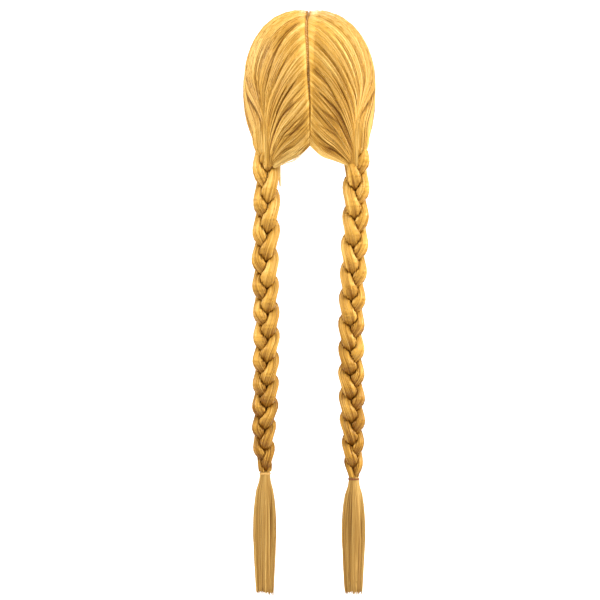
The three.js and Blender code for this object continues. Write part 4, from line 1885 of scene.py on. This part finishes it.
@dataclass
class Studio:
    """Camera, soft lights, and a pale floor that sweeps up behind."""

    distance: float = 2.0
    frame_width: float = 0.786
    aim: tuple[float, float] = (0.0124, -0.3633)
    floor_level: float = -0.80
    floor_radius: float = 3.2
    sweep_radius: float = 1.4
    wall_height: float = 4.5
    glow: float = 0.8

    def build(self) -> None:
        """Sets up the studio."""
        self.camera()
        self.floor()
        self.lights()
        settings = bpy.context.scene.view_settings
        settings.view_transform = "Standard"
        settings.look = "None"

    def camera(self) -> None:
        """Puts the camera behind the wearer's head, as far as the view needs."""
        lens = bpy.data.cameras.new("camera")
        lens.sensor_width = 36.0
        lens.lens = 36.0 * self.distance / self.frame_width
        camera = bpy.data.objects.new("camera", lens)
        camera.location = (self.aim[0], self.distance, self.aim[1])
        camera.rotation_euler = (math.radians(90), 0, math.radians(180))
        bpy.context.scene.collection.objects.link(camera)
        bpy.context.scene.camera = camera

    def floor(self) -> None:
        """Makes a round floor that sweeps up into one smooth pale wall all about."""
        bend = np.linspace(0, math.pi / 2, 20)
        out = np.concatenate([[0.02], self.floor_radius + self.sweep_radius * np.sin(bend)])
        rise = np.concatenate([[0.0], self.sweep_radius * (1 - np.cos(bend))])
        out, rise = np.append(out, out[-1]), np.append(rise, self.wall_height)
        turn = np.linspace(0, 2 * math.pi, 96, endpoint=False)
        x, y = np.outer(out, np.cos(turn)), np.outer(out, np.sin(turn))
        rings = np.stack([x, y, (rise + self.floor_level)[:, None] + 0 * x], axis=-1)
        faces = grid_faces(len(out), len(turn), wrap=True)
        faces.append(tuple(range(len(turn)))[::-1])
        floor = Skin("backdrop", rings[:, ::-1], faces).make(self.paper())

    def paper(self) -> bpy.types.Material:
        """Builds the pale paper, which glows white but lights the hair only a little.

        Returns:
            The material.
        """
        paper = bpy.data.materials.new("backdrop_paper")
        paper.use_nodes = True
        tree = paper.node_tree
        shader = tree.nodes["Principled BSDF"]
        shader.inputs["Base Color"].default_value = (0.8, 0.8, 0.805, 1)
        shader.inputs["Roughness"].default_value = 0.9
        shader.inputs["Emission Color"].default_value = (1, 1, 1, 1)
        path = tree.nodes.new("ShaderNodeLightPath")
        seen = tree.nodes.new("ShaderNodeMapRange")
        seen.inputs["To Min"].default_value = 0.14
        seen.inputs["To Max"].default_value = self.glow
        tree.links.new(path.outputs["Is Camera Ray"], seen.inputs["Value"])
        tree.links.new(seen.outputs["Result"], shader.inputs["Emission Strength"])
        return paper

    def lights(self) -> None:
        """Hangs the soft lights and sets the sky."""
        for name, place, size, power in (
            ("key", (-1.4, 1.2, 0.7), 0.7, 34.0),
            ("side", (-1.9, -0.2, 0.5), 0.7, 36.0),
            ("rim", (1.9, -0.3, 0.6), 0.7, 12.0),
            ("fill", (1.7, 0.6, 0.5), 0.7, 22.0),
            ("top", (0.1, 0.8, 1.5), 0.8, 12.0),
            ("front", (0.0, -1.6, 0.9), 1.0, 10.0),
        ):
            light = bpy.data.lights.new(name, "AREA")
            light.size = size
            light.energy = power
            lamp = bpy.data.objects.new(name, light)
            lamp.location = place
            aim = Vector((0, 0, -0.25)) - Vector(place)
            lamp.rotation_euler = aim.to_track_quat("-Z", "Y").to_euler()
            bpy.context.scene.collection.objects.link(lamp)
        world = bpy.data.worlds.new("soft_sky")
        world.use_nodes = True
        world.node_tree.nodes["Background"].inputs["Color"].default_value = (1, 1, 1, 1)
        world.node_tree.nodes["Background"].inputs["Strength"].default_value = 0.5
        bpy.context.scene.world = world


def make_plaits() -> tuple[Plait, Plait]:
    """Gives the two plaits their own lengths, turns and sway.

    Returns:
        The left and the right plait.
    """
    left = Plait(
        Side.LEFT,
        drop=582 * MM,
        lobes=12.7,
        quicken=3.2,
        start=0.41,
        sway=(0, -0.07, -0.05, 0, -0.03, -0.06, -0.03, -0.01, 0.06, 0),
    )
    right = Plait(
        Side.RIGHT,
        drop=589 * MM,
        lobes=12.75,
        quicken=2.2,
        start=0.76,
        sway=(0.1, 0.07, 0.05, -0.02, -0.08, -0.13, -0.12, -0.09, -0.06, -0.02),
    )
    return left, right


def make_sections(plait: Plait) -> tuple[HairSection, HairSection]:
    """Lists one half's sections of swept hair.

    Args:
        plait: The plait that the half is gathered into.

    Returns:
        The front section and the back section.
    """
    word, left = plait.side.word, plait.side is Side.LEFT
    front = HairSection(
        f"front_hair_{word}",
        plait,
        FRONT_RUNS,
        grooves=(0.2, 0.42, 0.62, 0.8),
        creases=FRONT_CREASES[plait.side],
        seed=3 if left else 4,
        past_root=0.12,
        # Painted shade in the recess beside the back section
        recess_shade=0.3 if left else 0.2,
        billow=3.0 * MM if left else 1.8 * MM,
        columns=170,
        fibres=800,
    )
    back = HairSection(
        f"back_hair_{word}",
        plait,
        BACK_RUNS,
        grooves=(0.1, 0.2, 0.3, 0.42, 0.53, 0.66, 0.78, 0.9),
        wrap=plait.wrap,
        creases=BACK_CREASES[plait.side],
        seed=7 if left else 8,
        # Painted shade in the recess beside the front section
        recess_shade=0.32 if left else 0.12,
        pale_edge=0.0 if left else 0.3,
    )
    return front, back


def main() -> None:
    """Builds the wig piece by piece and sets up the studio."""
    logging.basicConfig(level=logging.INFO)
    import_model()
    Studio().build()
    Cap().build()
    for plait, finish in zip(make_plaits(), (PALE_ELASTIC, RUST_ELASTIC)):
        sections = make_sections(plait)
        for section in sections:
            section.build()
        if plait.side is Side.LEFT:
            PartStrip(sections).build()
            NapeWisps(sections[1]).build()
            LooseLock(plait).build()
        else:
            NapeWisps(sections[1], sag=(-1.2 * MM, 0.6 * MM), places=(0.96, 0.999), seed=72).build()
        for number in range(3):
            Strand(plait, number).build()
        tie = Tie(plait, finish)
        tie.build()
        Tail(plait, tie, slant=1.6 * MM if plait.side is Side.LEFT else 0.0).build()


if __name__ == "__main__":
    main()
